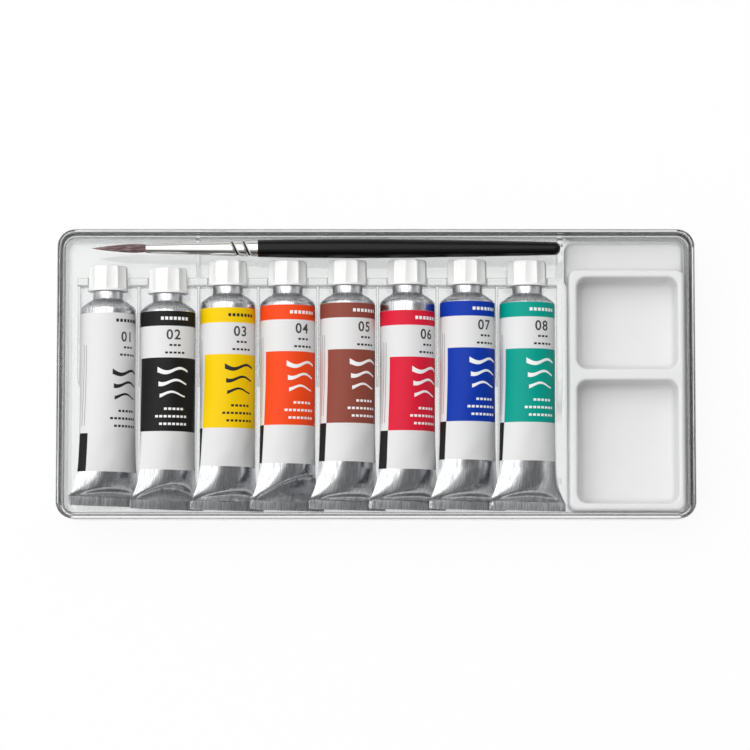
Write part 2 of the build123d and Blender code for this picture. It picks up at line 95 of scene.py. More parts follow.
def add(tree, kind, inputs=None, **settings):
    """Adds a node, sets its properties, and links or sets its inputs."""
    new = tree.nodes.new(kind)
    for key, value in settings.items():
        setattr(new, key, value)
    for key, value in (inputs or {}).items():
        if isinstance(value, bpy.types.NodeSocket):
            tree.links.new(value, new.inputs[key])
        else:
            new.inputs[key].default_value = value
    return new


def new_material(name):
    """Empty node material and its tree."""
    made = bpy.data.materials.new(name)
    made.use_nodes = True
    made.node_tree.nodes.clear()
    return made, made.node_tree


world = bpy.data.worlds.new("grey_room")
world.use_nodes = True
tree = world.node_tree
tree.nodes.clear()
heading = add(tree, "ShaderNodeTexCoord").outputs["Generated"]
facing = add(tree, "ShaderNodeSeparateXYZ", {"Vector": heading}).outputs
level = add(tree, "ShaderNodeMapRange", {
    "Value": facing[0], "From Min": ROOM_LEFT_FADE[0], "From Max": ROOM_LEFT_FADE[1],
    "To Min": ROOM_LEVEL, "To Max": ROOM_LEFT_LEVEL}).outputs[0]
front = add(tree, "ShaderNodeMapRange", {
    "Value": facing[1], "From Min": ROOM_FRONT_FADE[0], "From Max": ROOM_FRONT_FADE[1],
    "To Min": 1.0, "To Max": ROOM_FRONT_SHARE}).outputs[0]
level = add(tree, "ShaderNodeMath", {0: level, 1: front}, operation="MULTIPLY").outputs[0]
toward_dark = add(tree, "ShaderNodeVectorMath", {0: heading, 1: Vector(DARK_SIDE).normalized()},
                  operation="DOT_PRODUCT").outputs["Value"]
unlit = add(tree, "ShaderNodeMapRange", {
    "Value": toward_dark, "From Min": math.cos(math.radians(DARK_SIDE_REACH)), "From Max": DARK_SIDE_WHOLE,
    "To Min": 1.0, "To Max": ROOM_DARK_SHARE}, interpolation_type="SMOOTHSTEP").outputs[0]
level = add(tree, "ShaderNodeMath", {0: level, 1: unlit}, operation="MULTIPLY").outputs[0]
room = add(tree, "ShaderNodeBackground", {"Color": (1, 1, 1, 1), "Strength": level})
add(tree, "ShaderNodeOutputWorld", {"Surface": room.outputs[0]})
bpy.context.scene.world = world

soft_box_data = bpy.data.lights.new("soft_box", "AREA")
soft_box_data.shape = "RECTANGLE"
soft_box_data.size, soft_box_data.size_y = SOFT_BOX_SIZE
soft_box_data.energy = SOFT_BOX_POWER
soft_box = bpy.data.objects.new("soft_box", soft_box_data)
soft_box.location = SOFT_BOX_PLACE
soft_box.rotation_euler = (-soft_box.location).to_track_quat("-Z", "Y").to_euler()
bpy.context.scene.collection.objects.link(soft_box)

table_mesh = bpy.data.meshes.new("table")
table_mesh.from_pydata(
    [(x * TABLE_REACH, y * TABLE_REACH, -TABLE_DROP) for x, y in ((-1, -1), (1, -1), (1, 1), (-1, 1))],
    [], [(0, 1, 2, 3)])
table = bpy.data.objects.new("table", table_mesh)
bpy.context.scene.collection.objects.link(table)
# Matt white paint: no gloss, and plain white to the eye, with the object's soft shadow on it.
table_paint, tree = new_material("matt_white_table")
rays = add(tree, "ShaderNodeLightPath")
seen = add(tree, "ShaderNodeMath", {0: rays.outputs["Is Camera Ray"], 1: rays.outputs["Is Glossy Ray"]},
           operation="MAXIMUM")
seen = add(tree, "ShaderNodeMath", {0: seen.outputs[0], 1: TABLE_SHOWN_WHITE}, operation="MULTIPLY")
through = add(tree, "ShaderNodeMath", {0: rays.outputs["Is Transmission Ray"],
                                       1: TABLE_WHITE_THROUGH_PLASTIC},
              operation="MULTIPLY")
seen = add(tree, "ShaderNodeMath", {0: seen.outputs[0], 1: through.outputs[0]}, operation="MAXIMUM")
matt = add(tree, "ShaderNodeBsdfDiffuse", {"Color": linear(TABLE_COLOUR)})
white = add(tree, "ShaderNodeEmission", {"Color": (1, 1, 1, 1), "Strength": 1.0})
shown = add(tree, "ShaderNodeMixShader", {0: seen.outputs[0], 1: matt.outputs[0], 2: white.outputs[0]})
add(tree, "ShaderNodeOutputMaterial", {"Surface": shown.outputs[0]})
table_mesh.materials.append(table_paint)

camera_data = bpy.data.cameras.new("camera")
camera_data.lens = CAMERA_LENS
camera = bpy.data.objects.new("camera", camera_data)
lift = math.radians(CAMERA_ELEVATION)
camera.location = AIM + CAMERA_DISTANCE * Vector((0, -math.cos(lift), math.sin(lift)))
camera.rotation_euler = (math.pi / 2 - lift, 0, 0)
bpy.context.scene.collection.objects.link(camera)
bpy.context.scene.camera = camera
bpy.context.scene.view_settings.view_transform = "Standard"


# ---- Lid ----------------------------------------------------------------------------------------
# A shallow cover moulded in clear polystyrene, about a millimetre thick. It isn't fastened: it slips
# over the tray to close the box, and here it is turned over with the tray standing in it.
LID_TINT = "FDFDFD"
POLYSTYRENE_IOR = 1.57
POLISHED_ROUGHNESS = (0.03, 0.12)  # between the scratches and in them
FLOW_WAVE = 18 * MM  # across one wave that the melt leaves
SCRATCH_LENGTH = 4 * MM
SCRATCH_THINNESS = 14  # length of a hair scratch in its widths
MILK_ROUGHNESS = 0.22
MERGE_DISTANCE = 0.0005 * MM
SHARP_ANGLE = 38.0  # degrees between faces, past which an edge shows sharp
REST_GAP = 0.05 * MM
LEVEL_TOLERANCE = 0.002 * MM


def clear_polystyrene(name, tint, milk_share=0.0, milk_colour=None):
    """Clear moulded plastic: polished, with faint flow waves, hair scratches and an even milky share."""
    made, tree = new_material(name)
    place = add(tree, "ShaderNodeTexCoord").outputs["Object"]
    flow = add(tree, "ShaderNodeTexNoise", {"Vector": place, "Scale": 1 / FLOW_WAVE, "Detail": 1.0})
    scratch_place = add(tree, "ShaderNodeMapping", {"Vector": place, "Scale": (1, SCRATCH_THINNESS, 1)})
    scratch = add(tree, "ShaderNodeTexNoise", {"Vector": scratch_place.outputs[0],
                                               "Scale": 1 / SCRATCH_LENGTH,
                                               "Detail": 3.0})
    rough = add(tree, "ShaderNodeMapRange", {
        "Value": scratch.outputs["Fac"], "From Min": 0.45, "From Max": 0.75,
        "To Min": POLISHED_ROUGHNESS[0], "To Max": POLISHED_ROUGHNESS[1]})
    wave = add(tree, "ShaderNodeBump", {"Height": flow.outputs["Fac"], "Strength": 0.12,
                                        "Distance": 0.4 * MM})
    glassy = add(tree, "ShaderNodeBsdfPrincipled", {
        "Base Color": linear(tint), "Roughness": rough.outputs[0], "IOR": POLYSTYRENE_IOR,
        "Transmission Weight": 1.0, "Normal": wave.outputs[0]})
    body = glassy
    if milk_share:
        milk = add(tree, "ShaderNodeBsdfPrincipled", {
            "Base Color": linear(milk_colour), "Roughness": MILK_ROUGHNESS, "Normal": wave.outputs[0]})
        body = add(tree, "ShaderNodeMixShader", {0: milk_share, 1: glassy.outputs[0], 2: milk.outputs[0]})
    through = add(tree, "ShaderNodeBsdfTransparent", {"Color": linear(tint)})
    rays = add(tree, "ShaderNodeLightPath")
    last = add(tree, "ShaderNodeMixShader", {
        0: rays.outputs["Is Shadow Ray"], 1: body.outputs[0], 2: through.outputs[0]})
    add(tree, "ShaderNodeOutputMaterial", {"Surface": last.outputs[0]})
    return made


def piece(name, mesh, body, *nodes):
    """Shown object with its mesh in place, riding on one body and standing for these CAD nodes."""
    made = bpy.data.objects.new(name, mesh)
    bpy.context.scene.collection.objects.link(made)
    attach(made, body)
    if nodes:
        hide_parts(*nodes)


def merged(name, finish, *meshes):
    """One mesh of several in one finish, smooth with sharp creases kept."""
    form = bmesh.new()
    for mesh in meshes:
        form.from_mesh(mesh)
    bmesh.ops.remove_doubles(form, verts=form.verts, dist=MERGE_DISTANCE)
    bmesh.ops.recalc_face_normals(form, faces=form.faces)
    made = bpy.data.meshes.new(name)
    form.to_mesh(made)
    form.free()
    made.shade_smooth()
    made.set_sharp_from_angle(angle=math.radians(SHARP_ANGLE))
    made.materials.clear()
    made.materials.append(finish)
    return made


def dress(name, finish):
    """Gives a construction node its finish in every slot."""
    for slot in bpy.data.objects[name].material_slots:
        slot.material = finish


# The tray rests on the lid's floor. Where it does, the lid's shown face lies a little lower, because two
# clear faces in one place show black.
lid_sheet = merged("lid_sheet", clear_polystyrene("clear_moulded_polystyrene", LID_TINT),
                   bpy.data.objects["lid"].data)
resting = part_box("tray")[0][2]
for vertex in lid_sheet.vertices:
    if abs(vertex.co.z - resting) < LEVEL_TOLERANCE:
        vertex.co.z -= REST_GAP
piece("lid_sheet", lid_sheet, "lid", "lid")


# ---- Tray ---------------------------------------------------------------------------------------
# The bottom half of the box, one moulding with its ridge, ribs and divider. It is the same plastic a
# little less clear, so that its floor catches soft shadows from the tubes.
TRAY_TINT = "ECEDED"
TRAY_MILK = "CACBCC"
TRAY_MILK_SHARE = 0.08

dress("tray", clear_polystyrene("milky_moulded_polystyrene", TRAY_TINT, TRAY_MILK_SHARE, TRAY_MILK))


# ---- Palette ------------------------------------------------------------------------------------
# A thin white moulding with two deep wells for mixing and a low shelf behind them. It lies loose in
# the tray on the undersides of its wells.
PALETTE_WHITE = "E0E0E0"
PALETTE_ROUGHNESS = 0.3
PALETTE_GRAIN = 0.35  # mm
SINK_SPACING = 9 * MM  # between the faint hollows that cooling leaves
GLOW_DEPTH = 1.5 * MM  # how far light goes into a white plastic that lets it in


def darker(hex_colour, share):
    """The colour at this share of its light."""
    return (*[channel * share for channel in linear(hex_colour)[:3]], 1.0)


def moulded_white(name, colour, roughness, grain_mm, glow=0.0):
    """White moulded plastic: even colour, soft shine, a very fine moulded grain and faint sink marks."""
    made, tree = new_material(name)
    place = add(tree, "ShaderNodeTexCoord").outputs["Object"]
    cloud = add(tree, "ShaderNodeTexNoise", {"Vector": place, "Scale": 1 / SINK_SPACING, "Detail": 2.0})
    grain = add(tree, "ShaderNodeTexNoise", {"Vector": place, "Scale": 1 / (grain_mm * MM), "Detail": 2.0})
    tone = add(tree, "ShaderNodeMix", {"Factor": cloud.outputs["Fac"], "A": linear(colour),
                                       "B": darker(colour, 0.97)}, data_type="RGBA").outputs[2]
    rough = add(tree, "ShaderNodeMapRange", {"Value": grain.outputs["Fac"], "To Min": roughness - 0.05,
                                             "To Max": roughness + 0.07})
    dimple = add(tree, "ShaderNodeBump", {"Height": grain.outputs["Fac"], "Strength": 0.1,
                                          "Distance": 0.05 * MM})
    sink = add(tree, "ShaderNodeBump", {"Height": cloud.outputs["Fac"], "Strength": 0.15,
                                        "Distance": 0.3 * MM,
                                        "Normal": dimple.outputs[0]})
    skin = add(tree, "ShaderNodeBsdfPrincipled", {
        "Base Color": tone, "Roughness": rough.outputs[0], "IOR": 1.5, "Subsurface Weight": glow,
        "Subsurface Scale": GLOW_DEPTH, "Subsurface Radius": (1.0, 1.0, 1.0), "Normal": sink.outputs[0]})
    add(tree, "ShaderNodeOutputMaterial", {"Surface": skin.outputs[0]})
    return made


dress("palette", moulded_white("white_moulded_polystyrene", PALETTE_WHITE, PALETTE_ROUGHNESS, PALETTE_GRAIN))


# ---- Brush hair ---------------------------------------------------------------------------------
# A round pointed tuft of reddish-brown hair, bound and glued into the ferrule. It shows as separate
# hairs that swell a little past the ferrule and close to a point; Geometry Nodes lays them out.
HAIR_COUNT = 420
HAIR_POINTS = 14
HAIR_THICKNESS = 0.085 * MM
HAIR_ROOT_RADIUS = 1.22 * MM
HAIR_BELLY_RADIUS = 1.55 * MM
HAIR_BELLY_PLACE = 0.24  # share of the length
HAIR_POINT_SHAPE = 1.55  # how late the tuft closes to its point
HAIR_ROOT_DEPTH = 1.2 * MM
HAIR_SPREAD = (0.25, 1.0)  # share of the tuft's radius at which a hair lies
HAIR_REACH = (0.82, 1.0)  # share of the tuft's length that a hair has
HAIR_THIN_FROM = 0.55  # share of the length past which a hair thins to its tip
HAIR_TIP_SHARE = 0.3
STRAND_WIDTH = 0.35 * MM
HAIR_DARK = "40282A"
HAIR_PALE = "9C7E82"

hair_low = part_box("brush_hair")[0]
ferrule_low, ferrule_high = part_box("brush_ferrule")
brush_axis_y = (ferrule_low[1] + ferrule_high[1]) / 2
brush_axis_z = (ferrule_low[2] + ferrule_high[2]) / 2


def group_tree(name, sizes):
    """Geometry Nodes tree with geometry, sizes and a finish as inputs: (tree, input node, identifiers)."""
    tree = bpy.data.node_groups.new(name, "GeometryNodeTree")
    tree.interface.new_socket("Geometry", in_out="INPUT", socket_type="NodeSocketGeometry")
    identifiers = {}
    for size in sizes:
        made = tree.interface.new_socket(size, in_out="INPUT", socket_type="NodeSocketFloat")
        identifiers[size] = made.identifier
    made = tree.interface.new_socket("Finish", in_out="INPUT", socket_type="NodeSocketMaterial")
    identifiers["Finish"] = made.identifier
    tree.interface.new_socket("Geometry", in_out="OUTPUT", socket_type="NodeSocketGeometry")
    return tree, add(tree, "NodeGroupInput"), identifiers


def shaped_mesh(mesh, tree, identifiers, values):
    """The mesh after one Geometry Nodes tree, as a plain mesh."""
    carrier = bpy.data.objects.new("carrier", mesh)
    bpy.context.scene.collection.objects.link(carrier)
    modifier = carrier.modifiers.new("shape", "NODES")
    modifier.node_group = tree
    for size, value in values.items():
        modifier[identifiers[size]] = value
    bpy.context.view_layer.update()
    depsgraph = bpy.context.evaluated_depsgraph_get()
    shaped = bpy.data.meshes.new_from_object(carrier.evaluated_get(depsgraph), depsgraph=depsgraph)
    carrier.modifiers.remove(modifier)
    bpy.data.objects.remove(carrier)
    return shaped


# Natural hair: dry, low sheen, light and dark strands side by side. They are drawn 0.35 mm wide, where a
# real hair has less than 0.1 mm, so that they show.
hair_material, tree = new_material("natural_hair_bristle")
place = add(tree, "ShaderNodeTexCoord").outputs["Object"]
drawn_out = add(tree, "ShaderNodeMapping", {"Vector": place, "Scale": (0.12, 1, 1)})
strand = add(tree, "ShaderNodeTexNoise", {"Vector": drawn_out.outputs[0], "Scale": 1 / STRAND_WIDTH,
                                          "Detail": 2.0})
contrast = add(tree, "ShaderNodeMapRange", {"Value": strand.outputs["Fac"], "From Min": 0.38,
                                            "From Max": 0.66})
tone = add(tree, "ShaderNodeMix", {"Factor": contrast.outputs[0], "A": linear(HAIR_DARK),
                                   "B": linear(HAIR_PALE)},
           data_type="RGBA")
sheen = add(tree, "ShaderNodeBsdfPrincipled", {"Base Color": tone.outputs[2], "Roughness": 0.42, "IOR": 1.55})
add(tree, "ShaderNodeOutputMaterial", {"Surface": sheen.outputs[0]})

tree, given, hair_inputs = group_tree("lay_out_hairs", [
    "Start", "End", "Root Radius", "Belly Radius", "Belly Place", "Thickness", "Axis Y", "Axis Z"])
points = add(tree, "GeometryNodePoints", {"Count": HAIR_COUNT}).outputs[0]
for kept, low, high, seed in (
    ("angle", 0.0, math.tau, 4), ("spread", *HAIR_SPREAD, 9), ("reach", *HAIR_REACH, 21),
):
    drawn = add(tree, "FunctionNodeRandomValue", {2: low, 3: high, "Seed": seed},
                data_type="FLOAT").outputs[1]
    points = add(tree, "GeometryNodeStoreNamedAttribute", {"Geometry": points, "Name": kept, "Value": drawn},
                 data_type="FLOAT", domain="POINT").outputs[0]
single = add(tree, "GeometryNodeCurvePrimitiveLine", {"Start": (0, 0, 0), "End": (1, 0, 0)})
single = add(tree, "GeometryNodeResampleCurve", {"Curve": single.outputs[0], "Count": HAIR_POINTS})
copies = add(tree, "GeometryNodeInstanceOnPoints", {"Points": points, "Instance": single.outputs[0]})
lines = add(tree, "GeometryNodeRealizeInstances", {"Geometry": copies.outputs[0]})
turn, out, reach_share = [
    add(tree, "GeometryNodeInputNamedAttribute", {"Name": kept}, data_type="FLOAT").outputs[0]
    for kept in ("angle", "spread", "reach")]
along = add(tree, "GeometryNodeSplineParameter").outputs[0]
along = add(tree, "ShaderNodeMath", {0: along, 1: reach_share}, operation="MULTIPLY").outputs[0]
swell = add(tree, "ShaderNodeMapRange", {
    "Value": along, "From Max": given.outputs["Belly Place"],
    "To Min": given.outputs["Root Radius"], "To Max": given.outputs["Belly Radius"]},
    interpolation_type="SMOOTHSTEP")
closing = add(tree, "ShaderNodeMapRange", {"Value": along, "From Min": given.outputs["Belly Place"]})
closing = add(tree, "ShaderNodeMath", {0: closing.outputs[0], 1: HAIR_POINT_SHAPE}, operation="POWER")
closing = add(tree, "ShaderNodeMath", {0: 1.0, 1: closing.outputs[0]}, operation="SUBTRACT")
radius = add(tree, "ShaderNodeMath", {0: swell.outputs[0], 1: closing.outputs[0]}, operation="MULTIPLY")
radius = add(tree, "ShaderNodeMath", {0: radius.outputs[0], 1: out}, operation="MULTIPLY")
side = add(tree, "ShaderNodeMath", {0: turn}, operation="COSINE")
rise = add(tree, "ShaderNodeMath", {0: turn}, operation="SINE")
side = add(tree, "ShaderNodeMath", {0: radius.outputs[0], 1: side.outputs[0], 2: given.outputs["Axis Y"]},
           operation="MULTIPLY_ADD")
rise = add(tree, "ShaderNodeMath", {0: radius.outputs[0], 1: rise.outputs[0], 2: given.outputs["Axis Z"]},
           operation="MULTIPLY_ADD")
forward = add(tree, "ShaderNodeMapRange", {"Value": along, "To Min": given.outputs["Start"],
                                           "To Max": given.outputs["End"]})
target = add(tree, "ShaderNodeCombineXYZ", {"X": forward.outputs[0], "Y": side.outputs[0],
                                            "Z": rise.outputs[0]})
laid = add(tree, "GeometryNodeSetPosition", {"Geometry": lines.outputs[0], "Position": target.outputs[0]})
ring = add(tree, "GeometryNodeCurvePrimitiveCircle", {"Resolution": 5, "Radius": given.outputs["Thickness"]})
taper = add(tree, "ShaderNodeMapRange", {"Value": along, "From Min": HAIR_THIN_FROM, "To Min": 1.0,
                                         "To Max": HAIR_TIP_SHARE})
solid = add(tree, "GeometryNodeSetCurveRadius", {"Curve": laid.outputs[0], "Radius": taper.outputs[0]})
solid = add(tree, "GeometryNodeCurveToMesh", {"Curve": solid.outputs[0], "Profile Curve": ring.outputs[0],
                                              "Fill Caps": True})
solid = add(tree, "GeometryNodeRealizeInstances", {"Geometry": solid.outputs[0]})
solid = add(tree, "GeometryNodeSetMaterial", {"Geometry": solid.outputs[0],
                                              "Material": given.outputs["Finish"]})
add(tree, "NodeGroupOutput", {"Geometry": solid.outputs[0]})
hairs = shaped_mesh(bpy.data.meshes.new("hairs"), tree, hair_inputs, {
    "Start": ferrule_low[0] + HAIR_ROOT_DEPTH, "End": hair_low[0], "Root Radius": HAIR_ROOT_RADIUS,
    "Belly Radius": HAIR_BELLY_RADIUS, "Belly Place": HAIR_BELLY_PLACE, "Thickness": HAIR_THICKNESS,
    "Axis Y": brush_axis_y, "Axis Z": brush_axis_z, "Finish": hair_material})
piece("hair_tuft", hairs, "brush", "brush_hair")


# ---- Ferrule ------------------------------------------------------------------------------------
# A seamless tapered brass tube plated with nickel, crimped onto the handle by two slanting grooves
# that the rolls leave near its end.
FERRULE_METAL = "D9D8D5"
FERRULE_MOUTH_RADIUS = 1.6
FERRULE_END_RADIUS = 2.85
FERRULE_WALL = 0.2
CRIMP_PLACES = [4.0, 8.0]  # mm from the handle's end
CRIMP_WIDTH = 2.0
CRIMP_DEPTH = 0.42
CRIMP_SLANT = 1.1  # mm along, from the axis to either side
CRIMPED_LENGTH = 11.0  # mm at the handle's end that need many close rows
PLAIN_ROWS = 24
CRIMPED_ROWS = 100
AROUND = 96
DRAWING_LINES = 0.25 * MM
SMEAR_SIZE = 5 * MM

# Nickel plate on drawn brass: a bright mirror, a little warm, dulled by handling and with faint lines
# along it. The real lines are finer and are drawn as coarse as they need to show.
nickel, tree = new_material("nickel_plated_brass")
place = add(tree, "ShaderNodeTexCoord").outputs["Object"]
drawn = add(tree, "ShaderNodeMapping", {"Vector": place, "Scale": (0.05, 1, 1)})
lines = add(tree, "ShaderNodeTexNoise", {"Vector": drawn.outputs[0], "Scale": 1 / DRAWING_LINES,
                                         "Detail": 2.0})
smear = add(tree, "ShaderNodeTexNoise", {"Vector": place, "Scale": 1 / SMEAR_SIZE, "Detail": 3.0})
rough = add(tree, "ShaderNodeMapRange", {"Value": smear.outputs["Fac"], "From Min": 0.3, "From Max": 0.7,
                                         "To Min": 0.07, "To Max": 0.17})
groove = add(tree, "ShaderNodeBump", {"Height": lines.outputs["Fac"], "Strength": 0.25,
                                      "Distance": 0.02 * MM})
plate = add(tree, "ShaderNodeBsdfPrincipled", {"Base Color": linear(FERRULE_METAL), "Metallic": 1.0,
                                               "Roughness": rough.outputs[0], "Normal": groove.outputs[0]})
add(tree, "ShaderNodeOutputMaterial", {"Surface": plate.outputs[0]})

ferrule_length = (ferrule_high[0] - ferrule_low[0]) / MM
stations = [*np.linspace(0, ferrule_length - CRIMPED_LENGTH - 0.2, PLAIN_ROWS),
            *np.linspace(ferrule_length - CRIMPED_LENGTH, ferrule_length, CRIMPED_ROWS)]
angles = np.arange(AROUND) * math.tau / AROUND
vertices = []
for inward in (0.0, FERRULE_WALL):
    for along in stations if inward == 0 else reversed(stations):
        taper = FERRULE_MOUTH_RADIUS + (FERRULE_END_RADIUS - FERRULE_MOUTH_RADIUS) * along / ferrule_length
        radii = np.full(AROUND, taper - inward)
        for crimp in CRIMP_PLACES:
            off = np.clip((ferrule_length - along - crimp - CRIMP_SLANT * np.cos(angles)) / CRIMP_WIDTH, -0.5,
                          0.5)
            radii = radii - CRIMP_DEPTH * np.cos(math.pi * off) ** 2
        vertices += [(ferrule_low[0] + along * MM, brush_axis_y + radius * math.cos(angle) * MM,
                      brush_axis_z + radius * math.sin(angle) * MM) for radius, angle in zip(radii, angles)]
rows = 2 * len(stations)
faces = []
for row in range(rows):
    low, high = row * AROUND, (row + 1) % rows * AROUND
    for column in range(AROUND):
        after = (column + 1) % AROUND
        faces.append((low + column, low + after, high + after, high + column))
crimped_tube = bpy.data.meshes.new("crimped_tube")
crimped_tube.from_pydata(vertices, [], faces)
piece("crimped_ferrule", merged("ferrule", nickel, crimped_tube), "brush", "brush_ferrule")


# ---- Handle -------------------------------------------------------------------------------------
# Turned hardwood under several dips of black gloss lacquer, which pulls the wood's grain into very
# faint long waves. It is driven and glued into the ferrule.
LACQUER = "060606"
GRAIN_WIDTH = 0.9 * MM
DUST_SIZE = 0.6 * MM

# Gloss lacquer: deep even black with a long soft highlight, a little broken by the grain and by dust.
lacquer, tree = new_material("dipped_black_lacquer")
place = add(tree, "ShaderNodeTexCoord").outputs["Object"]
drawn = add(tree, "ShaderNodeMapping", {"Vector": place, "Scale": (0.06, 1, 1)})
grain = add(tree, "ShaderNodeTexNoise", {"Vector": drawn.outputs[0], "Scale": 1 / GRAIN_WIDTH, "Detail": 2.0})
dust = add(tree, "ShaderNodeTexNoise", {"Vector": place, "Scale": 1 / DUST_SIZE, "Detail": 4.0})
rough = add(tree, "ShaderNodeMapRange", {"Value": dust.outputs["Fac"], "From Min": 0.35, "From Max": 0.75,
                                         "To Min": 0.16, "To Max": 0.26})
wave = add(tree, "ShaderNodeBump", {"Height": grain.outputs["Fac"], "Strength": 0.3, "Distance": 0.03 * MM})
dip = add(tree, "ShaderNodeBsdfPrincipled", {"Base Color": linear(LACQUER), "Roughness": rough.outputs[0],
                                             "Specular IOR Level": 0.2, "Normal": wave.outputs[0]})
add(tree, "ShaderNodeOutputMaterial", {"Surface": dip.outputs[0]})
dress("brush_handle", lacquer)


# ---- Paint tubes --------------------------------------------------------------------------------
# Soft aluminium tubes, pressed out of a slug with their neck and nozzle, lacquered and printed, filled
# from the open end, which is then pressed flat and folded over. They lie with that fold slanting.
ROLLS = [33, 37, 36, 34, 30, 29, 28, 28]  # degrees, right corner of the fold down
LABEL_TURNS = [48, 15.5, 30, 33, 38.5, 43, 36.5, 29.5]  # degrees, label's middle to the right of straight up
LABEL_TOPS = [2.9, 1.5, 2.9, 1.9, 1.4, 4.1, 0.9, 0.9]  # mm below the shoulder's edge
COLOURS = ["E4E4E4", "1C1C1C", "F0C800", "F04A1C", "8C483C", "D8203A", "0A36A6", "009A8A"]
DARK_MARKS = [True, False, True, False, False, False, False, False]
CREASES = [  # pressed-in arch above the fold: place across -1 to 1, height in mm, depth as a share
    (0.10, 2.6, 0.62), (0.00, 5.2, 0.72), (0.25, 3.4, 0.66), (0.60, 9.2, 0.72),
    (0.15, 2.2, 0.62), (0.20, 2.4, 0.60), (0.10, 2.2, 0.60), (0.05, 2.8, 0.66),
]
TUBE_RADIUS = 9.6
TUBE_WALL = 0.2
COLUMNS = 128
FOLD_DEPTH = 3.2
FOLD_THICKNESS = 1.2
FOLD_OUTLINE = [  # (height over the mid plane in half thicknesses, mm along)
    (-1, 0.25), (-0.8, 0.06), (-0.35, 0.0), (0.35, 0.0), (0.8, 0.06), (0.8, 0.3), (1, 1.2), (1.15, 2.5),
    (1.1, 2.74), (0.4, 2.8), (0.34, 3.1), (0.2, 3.2), (-0.3, 3.2), (-0.7, 3.05), (-0.75, 2.4), (-1, 2.2),
    (-1, 1.2),
]
FOLD_SECTIONS = 62
CRUMPLED_LENGTH = 3.2  # mm at the fold's left end
FLARE_LENGTH = 48.0
FLARE_SHAPE = 1.6
SLOW_SHARE = 0.5  # of the pressing, spread over the flare; the rest is near the fold
CLOSING_LENGTH = 14.0
CLOSING_SHAPE = 3.0
PRESS_SHAPE = 0.65  # keeps the girth of the pressed wall that of the round barrel
PRESSED_HALF = 0.25
WALLS_PART = 1.2  # mm above the crease, where the pressed walls part round the paint
DENT_SPACING = 11 * MM
DENT_SHARE = (-0.1, 0.03)  # of the wall's height over the middle, pushed in and out
CREASE_EDGE = (-0.7 * MM, 1.1 * MM)  # over which the wall bends into the crease
SHOULDER_HEIGHT = 2.2
SHOULDER_ROUNDING = 1.8
PAINT_GAP = 0.08
NOZZLE_EMPTY = 1.0
NECK_RADIUS = 5.2
NECK_LENGTH = 3.1
NOZZLE_RADIUS = 4.3
NOZZLE_LENGTH = 6.3
NOZZLE_BORE = 2.4
THREAD_PITCH = 1.5
THREAD_DEPTH = 0.35
LABEL_LENGTH = 54.8
BAND_DEPTH = 5.2
PANEL_TOP = 16.2
PANEL_BOTTOM = 41.6
PANEL_HALF = 13.9
SPOT_LEFT = -18.2
SPOT_RIGHT = -13.9
BARE_METAL = "DEDFE1"
STREAK_METAL = "A9AAAD"
LABEL_WHITE = "DFDFDF"
DARK_INK = "2B2B2B"
LIGHT_MARK = "F4F4F4"
SPOT_INK = "1F1F1F"
FINE_PRINT = "9A9698"
FINE_PRINT_PLACES = (-15.7, -17.0)  # mm across, two upright lines
FINE_PRINT_HALF = 0.16
FINE_PRINT_REACH = (11, 39)  # mm below the label's top
ALL_ROUND = 40  # mm, more than half the girth
FOLD_ON_CHART = (80, 100)  # mm down, where the folded strip lies on the label map
PRINT_SOFTNESS = 0.07  # mm
DASH_PITCH = 1.5
DASH_SHARE = 0.7
DASH_ROWS = [  # dashes in the row, mm below the label's top, thickness, printed dark on the white
    (7, 2.6, 1.1, False), (3, 11.9, 0.7, True), (5, 14.5, 0.7, True),
    (5, 33.9, 0.8, False), (8, 36.5, 0.8, False), (7, 39.1, 0.8, False),
]
STROKE_PLACE = 20.6  # mm below the label's top, the first of three strokes
STROKE_PITCH = 4.1
STROKE_HALF = 5.6  # half the length of the first stroke; each next one is shorter and thinner
STROKE_THICK = 1.9
STROKE_SHRINK = (0.5, 0.3)
STROKE_WAVES = 0.62  # radians for each mm across
STROKE_LAG = 0.9
STROKE_SWING = 0.75
STROKE_TAPER = 2.6
BRUSHED_ROUGHNESS = (0.3, 0.17)
JAW_ROUGHNESS = 0.48
LABEL_ROUGHNESS = 0.38
PEEL_SIZE = 1.6 * MM  # of the lacquer's faint orange peel


